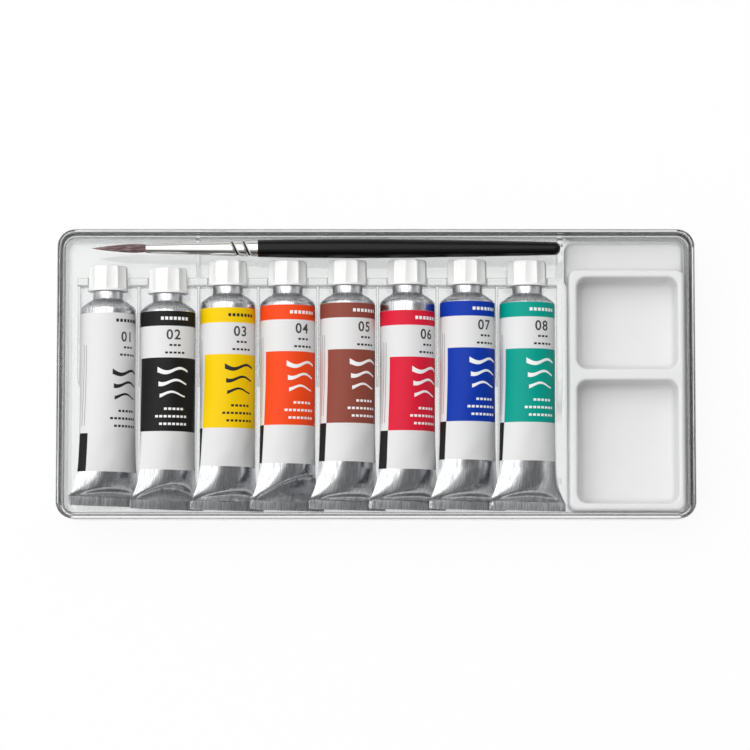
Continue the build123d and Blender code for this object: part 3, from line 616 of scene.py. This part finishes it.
def turned_blank(name, profile, label_middle, shoulder, thread=None):
    """Closed turned mesh about Y from (radius, along) in mm, with a label map: across and down, in 0.1 m."""
    turns = np.arange(COLUMNS) * math.tau / COLUMNS - math.pi
    vertices = []
    for radius, along in profile[1:-1]:
        radii = np.full(COLUMNS, radius)
        if thread and thread[0] < along < thread[1] and radius > NOZZLE_BORE + 0.5:
            radii = radii - THREAD_DEPTH * np.abs(((along / THREAD_PITCH - turns / math.tau) % 1.0) * 2 - 1)
        vertices += [(r * math.sin(t) * MM, along * MM, r * math.cos(t) * MM) for r, t in zip(radii, turns)]
    rows = len(profile) - 2
    first_pole, last_pole = len(vertices), len(vertices) + 1
    vertices += [(0, profile[0][1] * MM, 0), (0, profile[-1][1] * MM, 0)]
    faces = []
    label_map = []
    step = math.tau / COLUMNS
    for column in range(COLUMNS):
        after = (column + 1) % COLUMNS
        turn = (turns[column] - label_middle + math.pi) % math.tau - math.pi
        left, right = turn * TUBE_RADIUS / 100, (turn + step) * TUBE_RADIUS / 100
        down = [(shoulder - along) / 100 for _, along in profile]
        faces.append((first_pole, column, after))
        label_map += [(left, down[0]), (left, down[1]), (right, down[1])]
        for row in range(rows - 1):
            low, high = row * COLUMNS, (row + 1) * COLUMNS
            faces.append((low + column, high + column, high + after, low + after))
            label_map += [(left, down[row + 1]), (left, down[row + 2]), (right, down[row + 2]),
                          (right, down[row + 1])]
        top = (rows - 1) * COLUMNS
        faces.append((top + column, last_pole, top + after))
        label_map += [(left, down[-2]), (left, down[-1]), (right, down[-2])]
    mesh = bpy.data.meshes.new(name)
    mesh.from_pydata(vertices, [], faces)
    layer = mesh.uv_layers.new(name="label")
    layer.data.foreach_set("uv", np.array(label_map, dtype=np.float32).ravel())
    return mesh


def fold_strip(width, seed):
    """Closed mesh of the folded strip, lying across X, with its turned edge on the face: slightly uneven."""
    random = np.random.default_rng(seed)
    outline = [(FOLD_THICKNESS / 2 * height, along) for height, along in FOLD_OUTLINE]
    stations = np.linspace(-width / 2, width / 2, FOLD_SECTIONS)
    bend = np.cumsum(random.normal(0, 0.05, len(stations)))
    bend -= np.linspace(bend[0], bend[-1], len(stations))
    edge = np.convolve(random.normal(0, 0.2, len(stations) + 4), np.ones(5) / 5, mode="valid")
    vertices = []
    for place, lean, jog in zip(stations, bend, edge):
        near_end = max(0.0, 1 - (width / 2 - abs(place)) / 0.9)
        thin = 1 - 0.45 * near_end**2
        crumple = max(0.0, 1 - (place + width / 2) / CRUMPLED_LENGTH)
        for height, along in outline:
            fold_y, fold_z = crumple * random.normal(0, 0.22, 2)
            shift = jog if along > 1.8 and height > 0 else jog * 0.3
            vertices.append((place * MM, (along * (1 - 0.12 * near_end) + shift + 0.12 + abs(fold_y)) * MM,
                             (height * thin * 0.93 + np.clip(lean, -0.12, 0.12) + fold_z) * MM))
    count = len(outline)
    faces = []
    for station in range(len(stations) - 1):
        low, high = station * count, (station + 1) * count
        for point in range(count):
            after = (point + 1) % count
            faces.append((low + point, high + point, high + after, low + after))
    faces.append(tuple(range(count)))
    faces.append(tuple(reversed(range((len(stations) - 1) * count, len(stations) * count))))
    mesh = bpy.data.meshes.new("fold")
    mesh.from_pydata(vertices, [], faces)
    layer = mesh.uv_layers.new(name="label")
    chart_middle = sum(FOLD_ON_CHART) / 200
    places = [mesh.vertices[loop.vertex_index].co for loop in mesh.loops]
    flat = [(place.x / MM / 100, chart_middle + place.y / MM / 100) for place in places]
    layer.data.foreach_set("uv", np.array(flat, dtype=np.float32).ravel())
    return mesh


tree, given, press_inputs = group_tree("press_tube_flat", [
    "Radius", "Flare End", "Flare Length", "Flare Shape", "Slow Share",
    "Closing Length", "Closing Shape", "Press Shape", "Pressed Half",
    "Fold Depth", "Crease Place", "Crease Height", "Crease Depth", "Wobble"])
position = add(tree, "GeometryNodeInputPosition").outputs[0]
parts = add(tree, "ShaderNodeSeparateXYZ", {"Vector": position}).outputs
flat_radius = add(tree, "ShaderNodeCombineXYZ", {"X": parts[0], "Z": parts[2]})
size = add(tree, "ShaderNodeVectorMath", {0: flat_radius.outputs[0]}, operation="LENGTH").outputs["Value"]
depth_share = add(tree, "ShaderNodeMath", {0: size, 1: given.outputs["Radius"]},
                  operation="DIVIDE").outputs[0]
turn = add(tree, "ShaderNodeMath", {0: parts[0], 1: parts[2]}, operation="ARCTAN2").outputs[0]
sine = add(tree, "ShaderNodeMath", {0: turn}, operation="SINE").outputs[0]
cosine = add(tree, "ShaderNodeMath", {0: turn}, operation="COSINE").outputs[0]
unrolled = add(tree, "ShaderNodeMath", {0: sine}, operation="ARCSINE").outputs[0]
from_end = add(tree, "ShaderNodeMath", {0: given.outputs["Flare End"], 1: parts[1]}, operation="SUBTRACT")
share = add(tree, "ShaderNodeMath", {0: from_end.outputs[0], 1: given.outputs["Flare Length"]},
            operation="DIVIDE", use_clamp=True)
press = add(tree, "ShaderNodeMath", {0: share.outputs[0], 1: given.outputs["Flare Shape"]},
            operation="POWER").outputs[0]
press = add(tree, "ShaderNodeMath", {0: press, 1: given.outputs["Slow Share"]},
            operation="MULTIPLY").outputs[0]
closing = add(tree, "ShaderNodeMath", {0: parts[1], 1: given.outputs["Fold Depth"]},
              operation="SUBTRACT").outputs[0]
closing = add(tree, "ShaderNodeMath", {0: closing, 1: given.outputs["Closing Length"]},
              operation="DIVIDE").outputs[0]
closing = add(tree, "ShaderNodeMath", {0: 1.0, 1: closing}, operation="SUBTRACT", use_clamp=True).outputs[0]
closing = add(tree, "ShaderNodeMath", {0: closing, 1: given.outputs["Closing Shape"]},
              operation="POWER").outputs[0]
quick_share = add(tree, "ShaderNodeMath", {0: 1.0, 1: given.outputs["Slow Share"]},
                  operation="SUBTRACT").outputs[0]
press = add(tree, "ShaderNodeMath", {0: closing, 1: quick_share, 2: press},
            operation="MULTIPLY_ADD").outputs[0]
# A pressed section is a lens with two sharp sides, and keeps the girth of the barrel.
round_share = add(tree, "ShaderNodeMath", {0: 1.0, 1: press}, operation="SUBTRACT", use_clamp=True).outputs[0]
across = add(tree, "ShaderNodeMath", {0: sine, 1: round_share}, operation="MULTIPLY").outputs[0]
across = add(tree, "ShaderNodeMath", {0: unrolled, 1: press, 2: across}, operation="MULTIPLY_ADD").outputs[0]
across = add(tree, "ShaderNodeMath", {0: across, 1: size}, operation="MULTIPLY").outputs[0]
thick = add(tree, "ShaderNodeMath", {0: round_share, 1: given.outputs["Press Shape"]},
            operation="POWER").outputs[0]
thick = add(tree, "ShaderNodeMath", {0: thick, 1: given.outputs["Radius"]}, operation="MULTIPLY").outputs[0]
thick = add(tree, "ShaderNodeMath", {0: thick, 1: given.outputs["Pressed Half"]},
            operation="MAXIMUM").outputs[0]
thick = add(tree, "ShaderNodeMath", {0: thick, 1: depth_share}, operation="MULTIPLY").outputs[0]
height = add(tree, "ShaderNodeMath", {0: thick, 1: cosine}, operation="MULTIPLY").outputs[0]
# The arch: the wall below it is pressed in, most in its middle and not at all at the fold's corners.
flat_share = add(tree, "ShaderNodeMath", {0: unrolled, 1: math.pi / 2}, operation="DIVIDE").outputs[0]
off_peak = add(tree, "ShaderNodeMath", {0: flat_share, 1: given.outputs["Crease Place"]},
               operation="SUBTRACT").outputs[0]
away = add(tree, "ShaderNodeMath", {0: off_peak, 1: 0.0}, operation="GREATER_THAN").outputs[0]
room_right = add(tree, "ShaderNodeMath", {0: 1.0, 1: given.outputs["Crease Place"]},
                 operation="SUBTRACT").outputs[0]
room_left = add(tree, "ShaderNodeMath", {0: 1.0, 1: given.outputs["Crease Place"]},
                operation="ADD").outputs[0]
room_side = add(tree, "ShaderNodeMix", {"Factor": away, "A": room_left, "B": room_right},
                data_type="FLOAT").outputs[0]
arch = add(tree, "ShaderNodeMath", {0: off_peak, 1: room_side}, operation="DIVIDE").outputs[0]
arch = add(tree, "ShaderNodeMath", {0: arch, 1: arch}, operation="MULTIPLY").outputs[0]
arch = add(tree, "ShaderNodeMath", {0: 1.0, 1: arch}, operation="SUBTRACT", use_clamp=True).outputs[0]
arch = add(tree, "ShaderNodeMath", {0: arch, 1: given.outputs["Crease Height"],
                                    2: given.outputs["Fold Depth"]},
           operation="MULTIPLY_ADD").outputs[0]
below = add(tree, "ShaderNodeMath", {0: arch, 1: parts[1]}, operation="SUBTRACT").outputs[0]
pressed_in = add(tree, "ShaderNodeMapRange", {"Value": below, "From Min": CREASE_EDGE[0],
                                              "From Max": CREASE_EDGE[1]},
                 interpolation_type="SMOOTHSTEP").outputs[0]
facing = add(tree, "ShaderNodeMapRange", {"Value": cosine, "From Min": 0.0, "From Max": 0.3}).outputs[0]
pressed_in = add(tree, "ShaderNodeMath", {0: pressed_in, 1: facing}, operation="MULTIPLY").outputs[0]
pressed_in = add(tree, "ShaderNodeMath", {0: pressed_in, 1: given.outputs["Crease Depth"]},
                 operation="MULTIPLY").outputs[0]
kept = add(tree, "ShaderNodeMath", {0: 1.0, 1: pressed_in}, operation="SUBTRACT").outputs[0]
height = add(tree, "ShaderNodeMath", {0: height, 1: kept}, operation="MULTIPLY").outputs[0]
# Fingers leave shallow dents in the soft wall of the pressed half.
skin_place = add(tree, "ShaderNodeCombineXYZ", {"X": sine, "Z": cosine})
skin_place = add(tree, "ShaderNodeVectorMath", {0: skin_place.outputs[0], "Scale": TUBE_RADIUS * MM},
                 operation="SCALE")
lengthways = add(tree, "ShaderNodeCombineXYZ", {"Y": parts[1]})
skin_place = add(tree, "ShaderNodeVectorMath", {0: skin_place.outputs[0], 1: lengthways.outputs[0]},
                 operation="ADD")
dents = add(tree, "ShaderNodeTexNoise", {
    "Vector": skin_place.outputs[0], "W": given.outputs["Wobble"], "Scale": 1 / DENT_SPACING, "Detail": 1.0},
    noise_dimensions="4D").outputs["Fac"]
dents = add(tree, "ShaderNodeMapRange", {"Value": dents, "From Min": 0.3, "From Max": 0.7,
                                          "To Min": DENT_SHARE[0], "To Max": DENT_SHARE[1]})
dents = add(tree, "ShaderNodeMath", {0: dents.outputs[0], 1: share.outputs[0]},
            operation="MULTIPLY").outputs[0]
dents = add(tree, "ShaderNodeMath", {0: dents, 1: 1.0}, operation="ADD").outputs[0]
height = add(tree, "ShaderNodeMath", {0: height, 1: dents}, operation="MULTIPLY").outputs[0]
target = add(tree, "ShaderNodeCombineXYZ", {"X": across, "Y": parts[1], "Z": height})
shaped = add(tree, "GeometryNodeSetPosition", {"Geometry": given.outputs[0], "Position": target.outputs[0]})
shaped = add(tree, "GeometryNodeRealizeInstances", {"Geometry": shaped.outputs[0]})
shaped = add(tree, "GeometryNodeSetMaterial", {"Geometry": shaped.outputs[0],
                                               "Material": given.outputs["Finish"]})
add(tree, "NodeGroupOutput", {"Geometry": shaped.outputs[0]})
press_tree = tree


def printed(tree, across, down, left, right, top, bottom):
    """Mask of one printed patch between these limits in mm, with its edges a hair soft."""
    masks = []
    for value, low, high in ((across, left, right), (down, top, bottom)):
        off = add(tree, "ShaderNodeMath", {0: value, 1: (low + high) / 2}, operation="SUBTRACT")
        off = add(tree, "ShaderNodeMath", {0: off.outputs[0]}, operation="ABSOLUTE")
        half = (high - low) / 2
        masks.append(add(tree, "ShaderNodeMapRange", {
            "Value": off.outputs[0], "From Min": half + PRINT_SOFTNESS,
            "From Max": half - PRINT_SOFTNESS}).outputs[0])
    return add(tree, "ShaderNodeMath", {0: masks[0], 1: masks[1]}, operation="MULTIPLY").outputs[0]


def printed_aluminium(number, colour, dark_marks, top):
    """Lacquered aluminium: a bright brushed metal at both ends, a smooth, softly shining label between."""
    made, tree = new_material(f"printed_lacquered_aluminium_{number}")
    chart = add(tree, "ShaderNodeUVMap", uv_map="label").outputs[0]
    scaled = add(tree, "ShaderNodeMapping", {"Vector": chart, "Scale": (100, 100, 1)})
    across, down, _ = add(tree, "ShaderNodeSeparateXYZ", {"Vector": scaled.outputs[0]}).outputs
    mark = linear(DARK_INK if dark_marks else LIGHT_MARK)
    tone = linear(LABEL_WHITE)
    patches = []
    if number > 1:
        for half, low, high in ((ALL_ROUND, 0, BAND_DEPTH), (PANEL_HALF, PANEL_TOP, PANEL_BOTTOM)):
            patches.append((printed(tree, across, down, -half, half, top + low, top + high), linear(colour)))
    spot = printed(tree, across, down, SPOT_LEFT, SPOT_RIGHT, top + PANEL_BOTTOM, top + LABEL_LENGTH)
    patches.append((spot, linear(SPOT_INK)))
    # Rows of plain dashes stand where a label carries its lines of words.
    beat = add(tree, "ShaderNodeMath", {0: across, 1: DASH_PITCH}, operation="DIVIDE")
    beat = add(tree, "ShaderNodeMath", {0: beat.outputs[0]}, operation="FRACT")
    dash = add(tree, "ShaderNodeMath", {0: beat.outputs[0], 1: DASH_SHARE}, operation="LESS_THAN").outputs[0]
    for dashes, place, thick, on_white in DASH_ROWS:
        ink = linear(DARK_INK) if on_white else mark
        centre = top + place
        half = dashes * DASH_PITCH / 2
        shift = half % DASH_PITCH
        row = printed(tree, across, down, shift - half, shift + half, centre - thick / 2, centre + thick / 2)
        patches.append((add(tree, "ShaderNodeMath", {0: row, 1: dash}, operation="MULTIPLY").outputs[0], ink))
    for place in FINE_PRINT_PLACES:
        line = printed(tree, across, down, place - FINE_PRINT_HALF, place + FINE_PRINT_HALF,
                       top + FINE_PRINT_REACH[0], top + FINE_PRINT_REACH[1])
        patches.append((line, linear(FINE_PRINT)))
    # Three stacked wavy strokes of a flat brush, as a plain ornament.
    for order in range(3):
        swing = add(tree, "ShaderNodeMath", {0: across, 1: STROKE_WAVES}, operation="MULTIPLY")
        swing = add(tree, "ShaderNodeMath", {0: swing.outputs[0], 1: STROKE_LAG * order}, operation="ADD")
        swing = add(tree, "ShaderNodeMath", {0: swing.outputs[0]}, operation="SINE")
        waved = add(tree, "ShaderNodeMath", {0: swing.outputs[0], 1: STROKE_SWING, 2: down},
                    operation="MULTIPLY_ADD")
        centre = top + STROKE_PLACE + STROKE_PITCH * order
        half = STROKE_HALF - STROKE_SHRINK[0] * order
        thick = STROKE_THICK - STROKE_SHRINK[1] * order
        off = add(tree, "ShaderNodeMath", {0: waved.outputs[0], 1: centre}, operation="SUBTRACT")
        thinning = add(tree, "ShaderNodeMapRange", {"Value": across, "From Min": -half, "From Max": half,
                                                    "To Min": 1.0, "To Max": STROKE_TAPER})
        tapered = add(tree, "ShaderNodeMath", {0: off.outputs[0], 1: thinning.outputs[0]},
                      operation="MULTIPLY").outputs[0]
        patches.append((printed(tree, across, tapered, -half, half, -thick / 2, thick / 2), mark))
    for mask, ink in patches:
        tone = add(tree, "ShaderNodeMix", {"Factor": mask, "A": tone, "B": ink}, data_type="RGBA").outputs[2]
    lacquered = printed(tree, across, down, -ALL_ROUND, ALL_ROUND, top, top + LABEL_LENGTH)
    # The bare metal is brushed by its rollers: light and dark streaks along the tube, which are drawn
    # several times as wide as the real ones, so that they show.
    streak_place = add(tree, "ShaderNodeMapping", {"Vector": scaled.outputs[0], "Scale": (1, 0.07, 1)})
    streak = add(tree, "ShaderNodeTexNoise", {"Vector": streak_place.outputs[0], "Scale": 2.4, "Detail": 4.0,
                                              "Roughness": 0.62})
    streak_fac = add(tree, "ShaderNodeMapRange", {"Value": streak.outputs["Fac"], "From Min": 0.38,
                                                  "From Max": 0.6})
    metal = add(tree, "ShaderNodeMix", {"Factor": streak_fac.outputs[0], "A": linear(STREAK_METAL),
                                        "B": linear(BARE_METAL)},
                data_type="RGBA").outputs[2]
    base = add(tree, "ShaderNodeMix", {"Factor": lacquered, "A": metal, "B": tone},
               data_type="RGBA").outputs[2]
    metallic = add(tree, "ShaderNodeMath", {0: 1.0, 1: lacquered}, operation="SUBTRACT").outputs[0]
    metal_rough = add(tree, "ShaderNodeMapRange", {"Value": streak.outputs["Fac"], "From Min": 0.3,
                                                   "From Max": 0.7,
                                                   "To Min": BRUSHED_ROUGHNESS[0],
                                                   "To Max": BRUSHED_ROUGHNESS[1]})
    # The folded strip is smoothed and dulled by the jaws that close it.
    crimped = printed(tree, across, down, -ALL_ROUND, ALL_ROUND, *FOLD_ON_CHART)
    scored = add(tree, "ShaderNodeMapRange", {"Value": crimped, "To Min": 1.0, "To Max": 0.15})
    scored = add(tree, "ShaderNodeMath", {0: streak.outputs["Fac"], 1: scored.outputs[0]},
                 operation="MULTIPLY").outputs[0]
    metal_rough = add(tree, "ShaderNodeMix", {"Factor": crimped, "A": metal_rough.outputs[0],
                                              "B": JAW_ROUGHNESS}, data_type="FLOAT")
    place = add(tree, "ShaderNodeTexCoord").outputs["Object"]
    peel = add(tree, "ShaderNodeTexNoise", {"Vector": place, "Scale": 1 / PEEL_SIZE, "Detail": 2.0})
    rough = add(tree, "ShaderNodeMix", {"Factor": lacquered, "A": metal_rough.outputs[0],
                                        "B": LABEL_ROUGHNESS}, data_type="FLOAT")
    brushed = add(tree, "ShaderNodeBump", {"Height": scored, "Strength": 0.6, "Distance": 0.03 * MM})
    bump = add(tree, "ShaderNodeBump", {"Height": peel.outputs["Fac"], "Strength": 0.25,
                                        "Distance": 0.06 * MM,
                                        "Normal": brushed.outputs[0]})
    skin = add(tree, "ShaderNodeBsdfPrincipled", {
        "Base Color": base, "Metallic": metallic, "Roughness": rough.outputs[0], "Specular IOR Level": 0.12,
        "Normal": bump.outputs[0]})
    add(tree, "ShaderNodeOutputMaterial", {"Surface": skin.outputs[0]})
    return made


def paint_paste(number, colour):
    """Gouache: a thick opaque paste of pigment and gum, matt where it dries and moist inside its tube."""
    made, tree = new_material(f"gouache_paste_{number}")
    place = add(tree, "ShaderNodeTexCoord").outputs["Object"]
    lump = add(tree, "ShaderNodeTexNoise", {"Vector": place, "Scale": 1 / (1.2 * MM), "Detail": 3.0})
    tone = add(tree, "ShaderNodeMix", {"Factor": lump.outputs["Fac"], "A": linear(colour),
                                       "B": darker(colour, 0.82)}, data_type="RGBA")
    bump = add(tree, "ShaderNodeBump", {"Height": lump.outputs["Fac"], "Strength": 0.4, "Distance": 0.1 * MM})
    paste = add(tree, "ShaderNodeBsdfPrincipled", {"Base Color": tone.outputs[2], "Roughness": 0.45,
                                                   "Normal": bump.outputs[0]})
    add(tree, "ShaderNodeOutputMaterial", {"Surface": paste.outputs[0]})
    return made


def arc(centre, radius, start, end, steps):
    """(radius, along) points on a quarter arc, angles in degrees from the outward direction."""
    angles = [math.radians(start + (end - start) * step / steps) for step in range(steps + 1)]
    return [(centre[0] + radius * math.cos(a), centre[1] + radius * math.sin(a)) for a in angles]


def pressed(mesh, crease, wobble, finish):
    """The blank after its open end is pressed flat."""
    place, height, depth = crease
    return shaped_mesh(mesh, press_tree, press_inputs, {
        "Radius": TUBE_RADIUS * MM, "Flare End": (FOLD_DEPTH + FLARE_LENGTH) * MM,
        "Flare Length": FLARE_LENGTH * MM,
        "Flare Shape": FLARE_SHAPE, "Slow Share": SLOW_SHARE, "Closing Length": CLOSING_LENGTH * MM,
        "Closing Shape": CLOSING_SHAPE, "Press Shape": PRESS_SHAPE, "Pressed Half": PRESSED_HALF * MM,
        "Fold Depth": FOLD_DEPTH * MM, "Crease Place": place, "Crease Height": height * MM,
        "Crease Depth": depth,
        "Wobble": wobble, "Finish": finish})


for index in range(8):
    number = index + 1
    cap_low, cap_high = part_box(f"tube_{number}_cap")
    shell_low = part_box(f"tube_{number}_shell")[0]
    start = Vector(((cap_low[0] + cap_high[0]) / 2, shell_low[1], (cap_low[2] + cap_high[2]) / 2))
    cap_mouth = (cap_low[1] - shell_low[1]) / MM
    shoulder = cap_mouth - NECK_LENGTH - SHOULDER_HEIGHT
    neck = shoulder + SHOULDER_HEIGHT
    end = cap_mouth + NOZZLE_LENGTH
    outer = [(0.0, 2.3), (TUBE_RADIUS * 0.9, 2.3)]
    rows = [*np.arange(2.35, 20.0, 0.4), *np.arange(20.35, 52.0, 1.15), *np.linspace(53.0, shoulder - 1.9, 5)]
    outer += [(TUBE_RADIUS, along) for along in rows]
    outer += arc((TUBE_RADIUS - SHOULDER_ROUNDING, shoulder - 1.5), SHOULDER_ROUNDING, 0, 55, 7)
    outer += [(NECK_RADIUS + 1.7, neck - 0.75), (NECK_RADIUS + 0.7, neck - 0.25),
              (NECK_RADIUS + 0.2, neck + 0.1)]
    outer += [(NECK_RADIUS, neck + 0.55), (NECK_RADIUS, cap_mouth - 0.25),
              (NECK_RADIUS - 0.12, cap_mouth - 0.12)]
    outer += [(NOZZLE_RADIUS, cap_mouth - 0.1)]
    outer += [(NOZZLE_RADIUS, along) for along in np.arange(cap_mouth, end - 0.4, 0.25)]
    outer += [(NOZZLE_RADIUS - 0.3, end), (NOZZLE_BORE + 0.15, end), (NOZZLE_BORE, end - 0.2),
              (NOZZLE_BORE, neck)]
    inner = TUBE_RADIUS - TUBE_WALL
    outer += [(NECK_RADIUS, neck - 0.9)]
    open_from = FOLD_DEPTH + CREASES[index][1] + WALLS_PART  # the walls lie on each other up to here
    outer += [(inner, along) for along in reversed(rows) if along > open_from]
    outer += [(inner * 0.9, open_from), (0.0, open_from)]
    label_middle = math.radians(LABEL_TURNS[index] - ROLLS[index])
    blank = turned_blank("blank", outer, label_middle, shoulder, (cap_mouth, end - 0.6))
    foil = printed_aluminium(number, COLOURS[index], DARK_MARKS[index], LABEL_TOPS[index])
    shell = pressed(blank, CREASES[index], 3.7 * number, foil)
    mesh = merged(f"tube_{number}", foil, shell, fold_strip(math.pi * TUBE_RADIUS, number))
    lie = Matrix.Translation(start) @ Matrix.Rotation(math.radians(ROLLS[index]), 4, "Y")
    mesh.transform(lie)
    piece(f"tube_{number}_wall", mesh, f"tube_{number}", f"tube_{number}_shell")

    fill = inner - PAINT_GAP
    inside = [(0.0, open_from + 0.4), (fill * 0.9, open_from + 0.4)]
    inside += [(fill, along) for along in rows if along > open_from + 0.5]
    inside += [(NECK_RADIUS - 0.2, neck - 1.2), (NOZZLE_BORE - 0.1, neck - 0.5)]
    inside += [(NOZZLE_BORE - 0.1, end - NOZZLE_EMPTY), (0.0, end - NOZZLE_EMPTY)]
    paste = paint_paste(number, COLOURS[index])
    filling = pressed(turned_blank("filling", inside, 0.0, shoulder), CREASES[index], 3.7 * number, paste)
    filling = merged(f"paint_{number}", paste, filling)
    filling.transform(lie)
    piece(f"tube_{number}_filling", filling, f"tube_{number}", f"tube_{number}_paint")


# ---- Screw caps ---------------------------------------------------------------------------------
# White polyethylene caps, moulded with ten flutes to grip and a plain ring at the mouth, screwed onto
# the nozzles. The plastic is a little waxy and lets some light into its edges.
CAP_WHITE = "F5F5F4"
CAP_ROUGHNESS = 0.4
CAP_GRAIN = 0.25  # mm
CAP_GLOW = 0.6

cap_plastic = moulded_white("white_moulded_polyethylene", CAP_WHITE, CAP_ROUGHNESS, CAP_GRAIN, CAP_GLOW)
for number in range(1, 9):
    dress(f"tube_{number}_cap", cap_plastic)


# ---- Printed numbers ----------------------------------------------------------------------------
# Each tube's plain number, screen printed in dark ink on the white of its label. The ink stands a
# few hundredths of a millimetre over the lacquer.
FIGURE_SIZE = 4.8
FIGURE_WEIGHT = 0.08  # mm added to the strokes all round
FIGURE_PLACE = 8.4  # mm below the label's top
FIGURE_SPACING = 1.15
FIGURE_HALF = 4.0  # mm, more than half a number's width
BEND_STEP = 0.4  # mm between the cuts that let wide strokes bend round the barrel
INK_RISE = 0.03
INK_WORN = "3C3C3C"
SPECK_SIZE = 0.3 * MM

# Screen printed ink: dense, nearly matt dark grey with a faint speckle.
ink, tree = new_material("screen_printed_ink")
place = add(tree, "ShaderNodeTexCoord").outputs["Object"]
speck = add(tree, "ShaderNodeTexNoise", {"Vector": place, "Scale": 1 / SPECK_SIZE, "Detail": 3.0})
tone = add(tree, "ShaderNodeMix", {"Factor": speck.outputs["Fac"], "A": linear(DARK_INK),
                                   "B": linear(INK_WORN)},
           data_type="RGBA")
skin = add(tree, "ShaderNodeBsdfPrincipled", {"Base Color": tone.outputs[2], "Roughness": 0.5})
add(tree, "ShaderNodeOutputMaterial", {"Surface": skin.outputs[0]})

for index in range(8):
    number = index + 1
    cap_low, cap_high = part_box(f"tube_{number}_cap")
    figure = bpy.data.curves.new("figure", "FONT")
    figure.body = f"0{number}"
    figure.align_x = "CENTER"
    figure.align_y = "CENTER"
    figure.size = FIGURE_SIZE
    figure.space_character = FIGURE_SPACING
    figure.extrude = INK_RISE / 2
    figure.offset = FIGURE_WEIGHT
    carrier = bpy.data.objects.new("carrier", figure)
    bpy.context.scene.collection.objects.link(carrier)
    depsgraph = bpy.context.evaluated_depsgraph_get()
    mesh = bpy.data.meshes.new_from_object(carrier.evaluated_get(depsgraph), depsgraph=depsgraph)
    bpy.data.objects.remove(carrier)
    shoulder_y = cap_low[1] - (NECK_LENGTH + SHOULDER_HEIGHT) * MM
    centre_x, centre_z = (cap_low[0] + cap_high[0]) / 2, (cap_low[2] + cap_high[2]) / 2
    form = bmesh.new()
    form.from_mesh(mesh)
    for cut in np.arange(-FIGURE_HALF, FIGURE_HALF, BEND_STEP):
        bmesh.ops.bisect_plane(form, geom=[*form.verts, *form.edges, *form.faces],
                               plane_co=(cut, 0, 0), plane_no=(1, 0, 0))
    form.to_mesh(mesh)
    form.free()
    for vertex in mesh.vertices:
        across, up, rise = vertex.co
        turn = math.radians(LABEL_TURNS[index]) + across / TUBE_RADIUS
        radius = (TUBE_RADIUS + INK_RISE / 2 + rise) * MM
        down = (LABEL_TOPS[index] + FIGURE_PLACE - up) * MM
        vertex.co = (centre_x + radius * math.sin(turn), shoulder_y - down,
                     centre_z + radius * math.cos(turn))
    mesh = merged(f"figure_{number}", ink, mesh)
    piece(f"tube_{number}_number", mesh, f"tube_{number}")
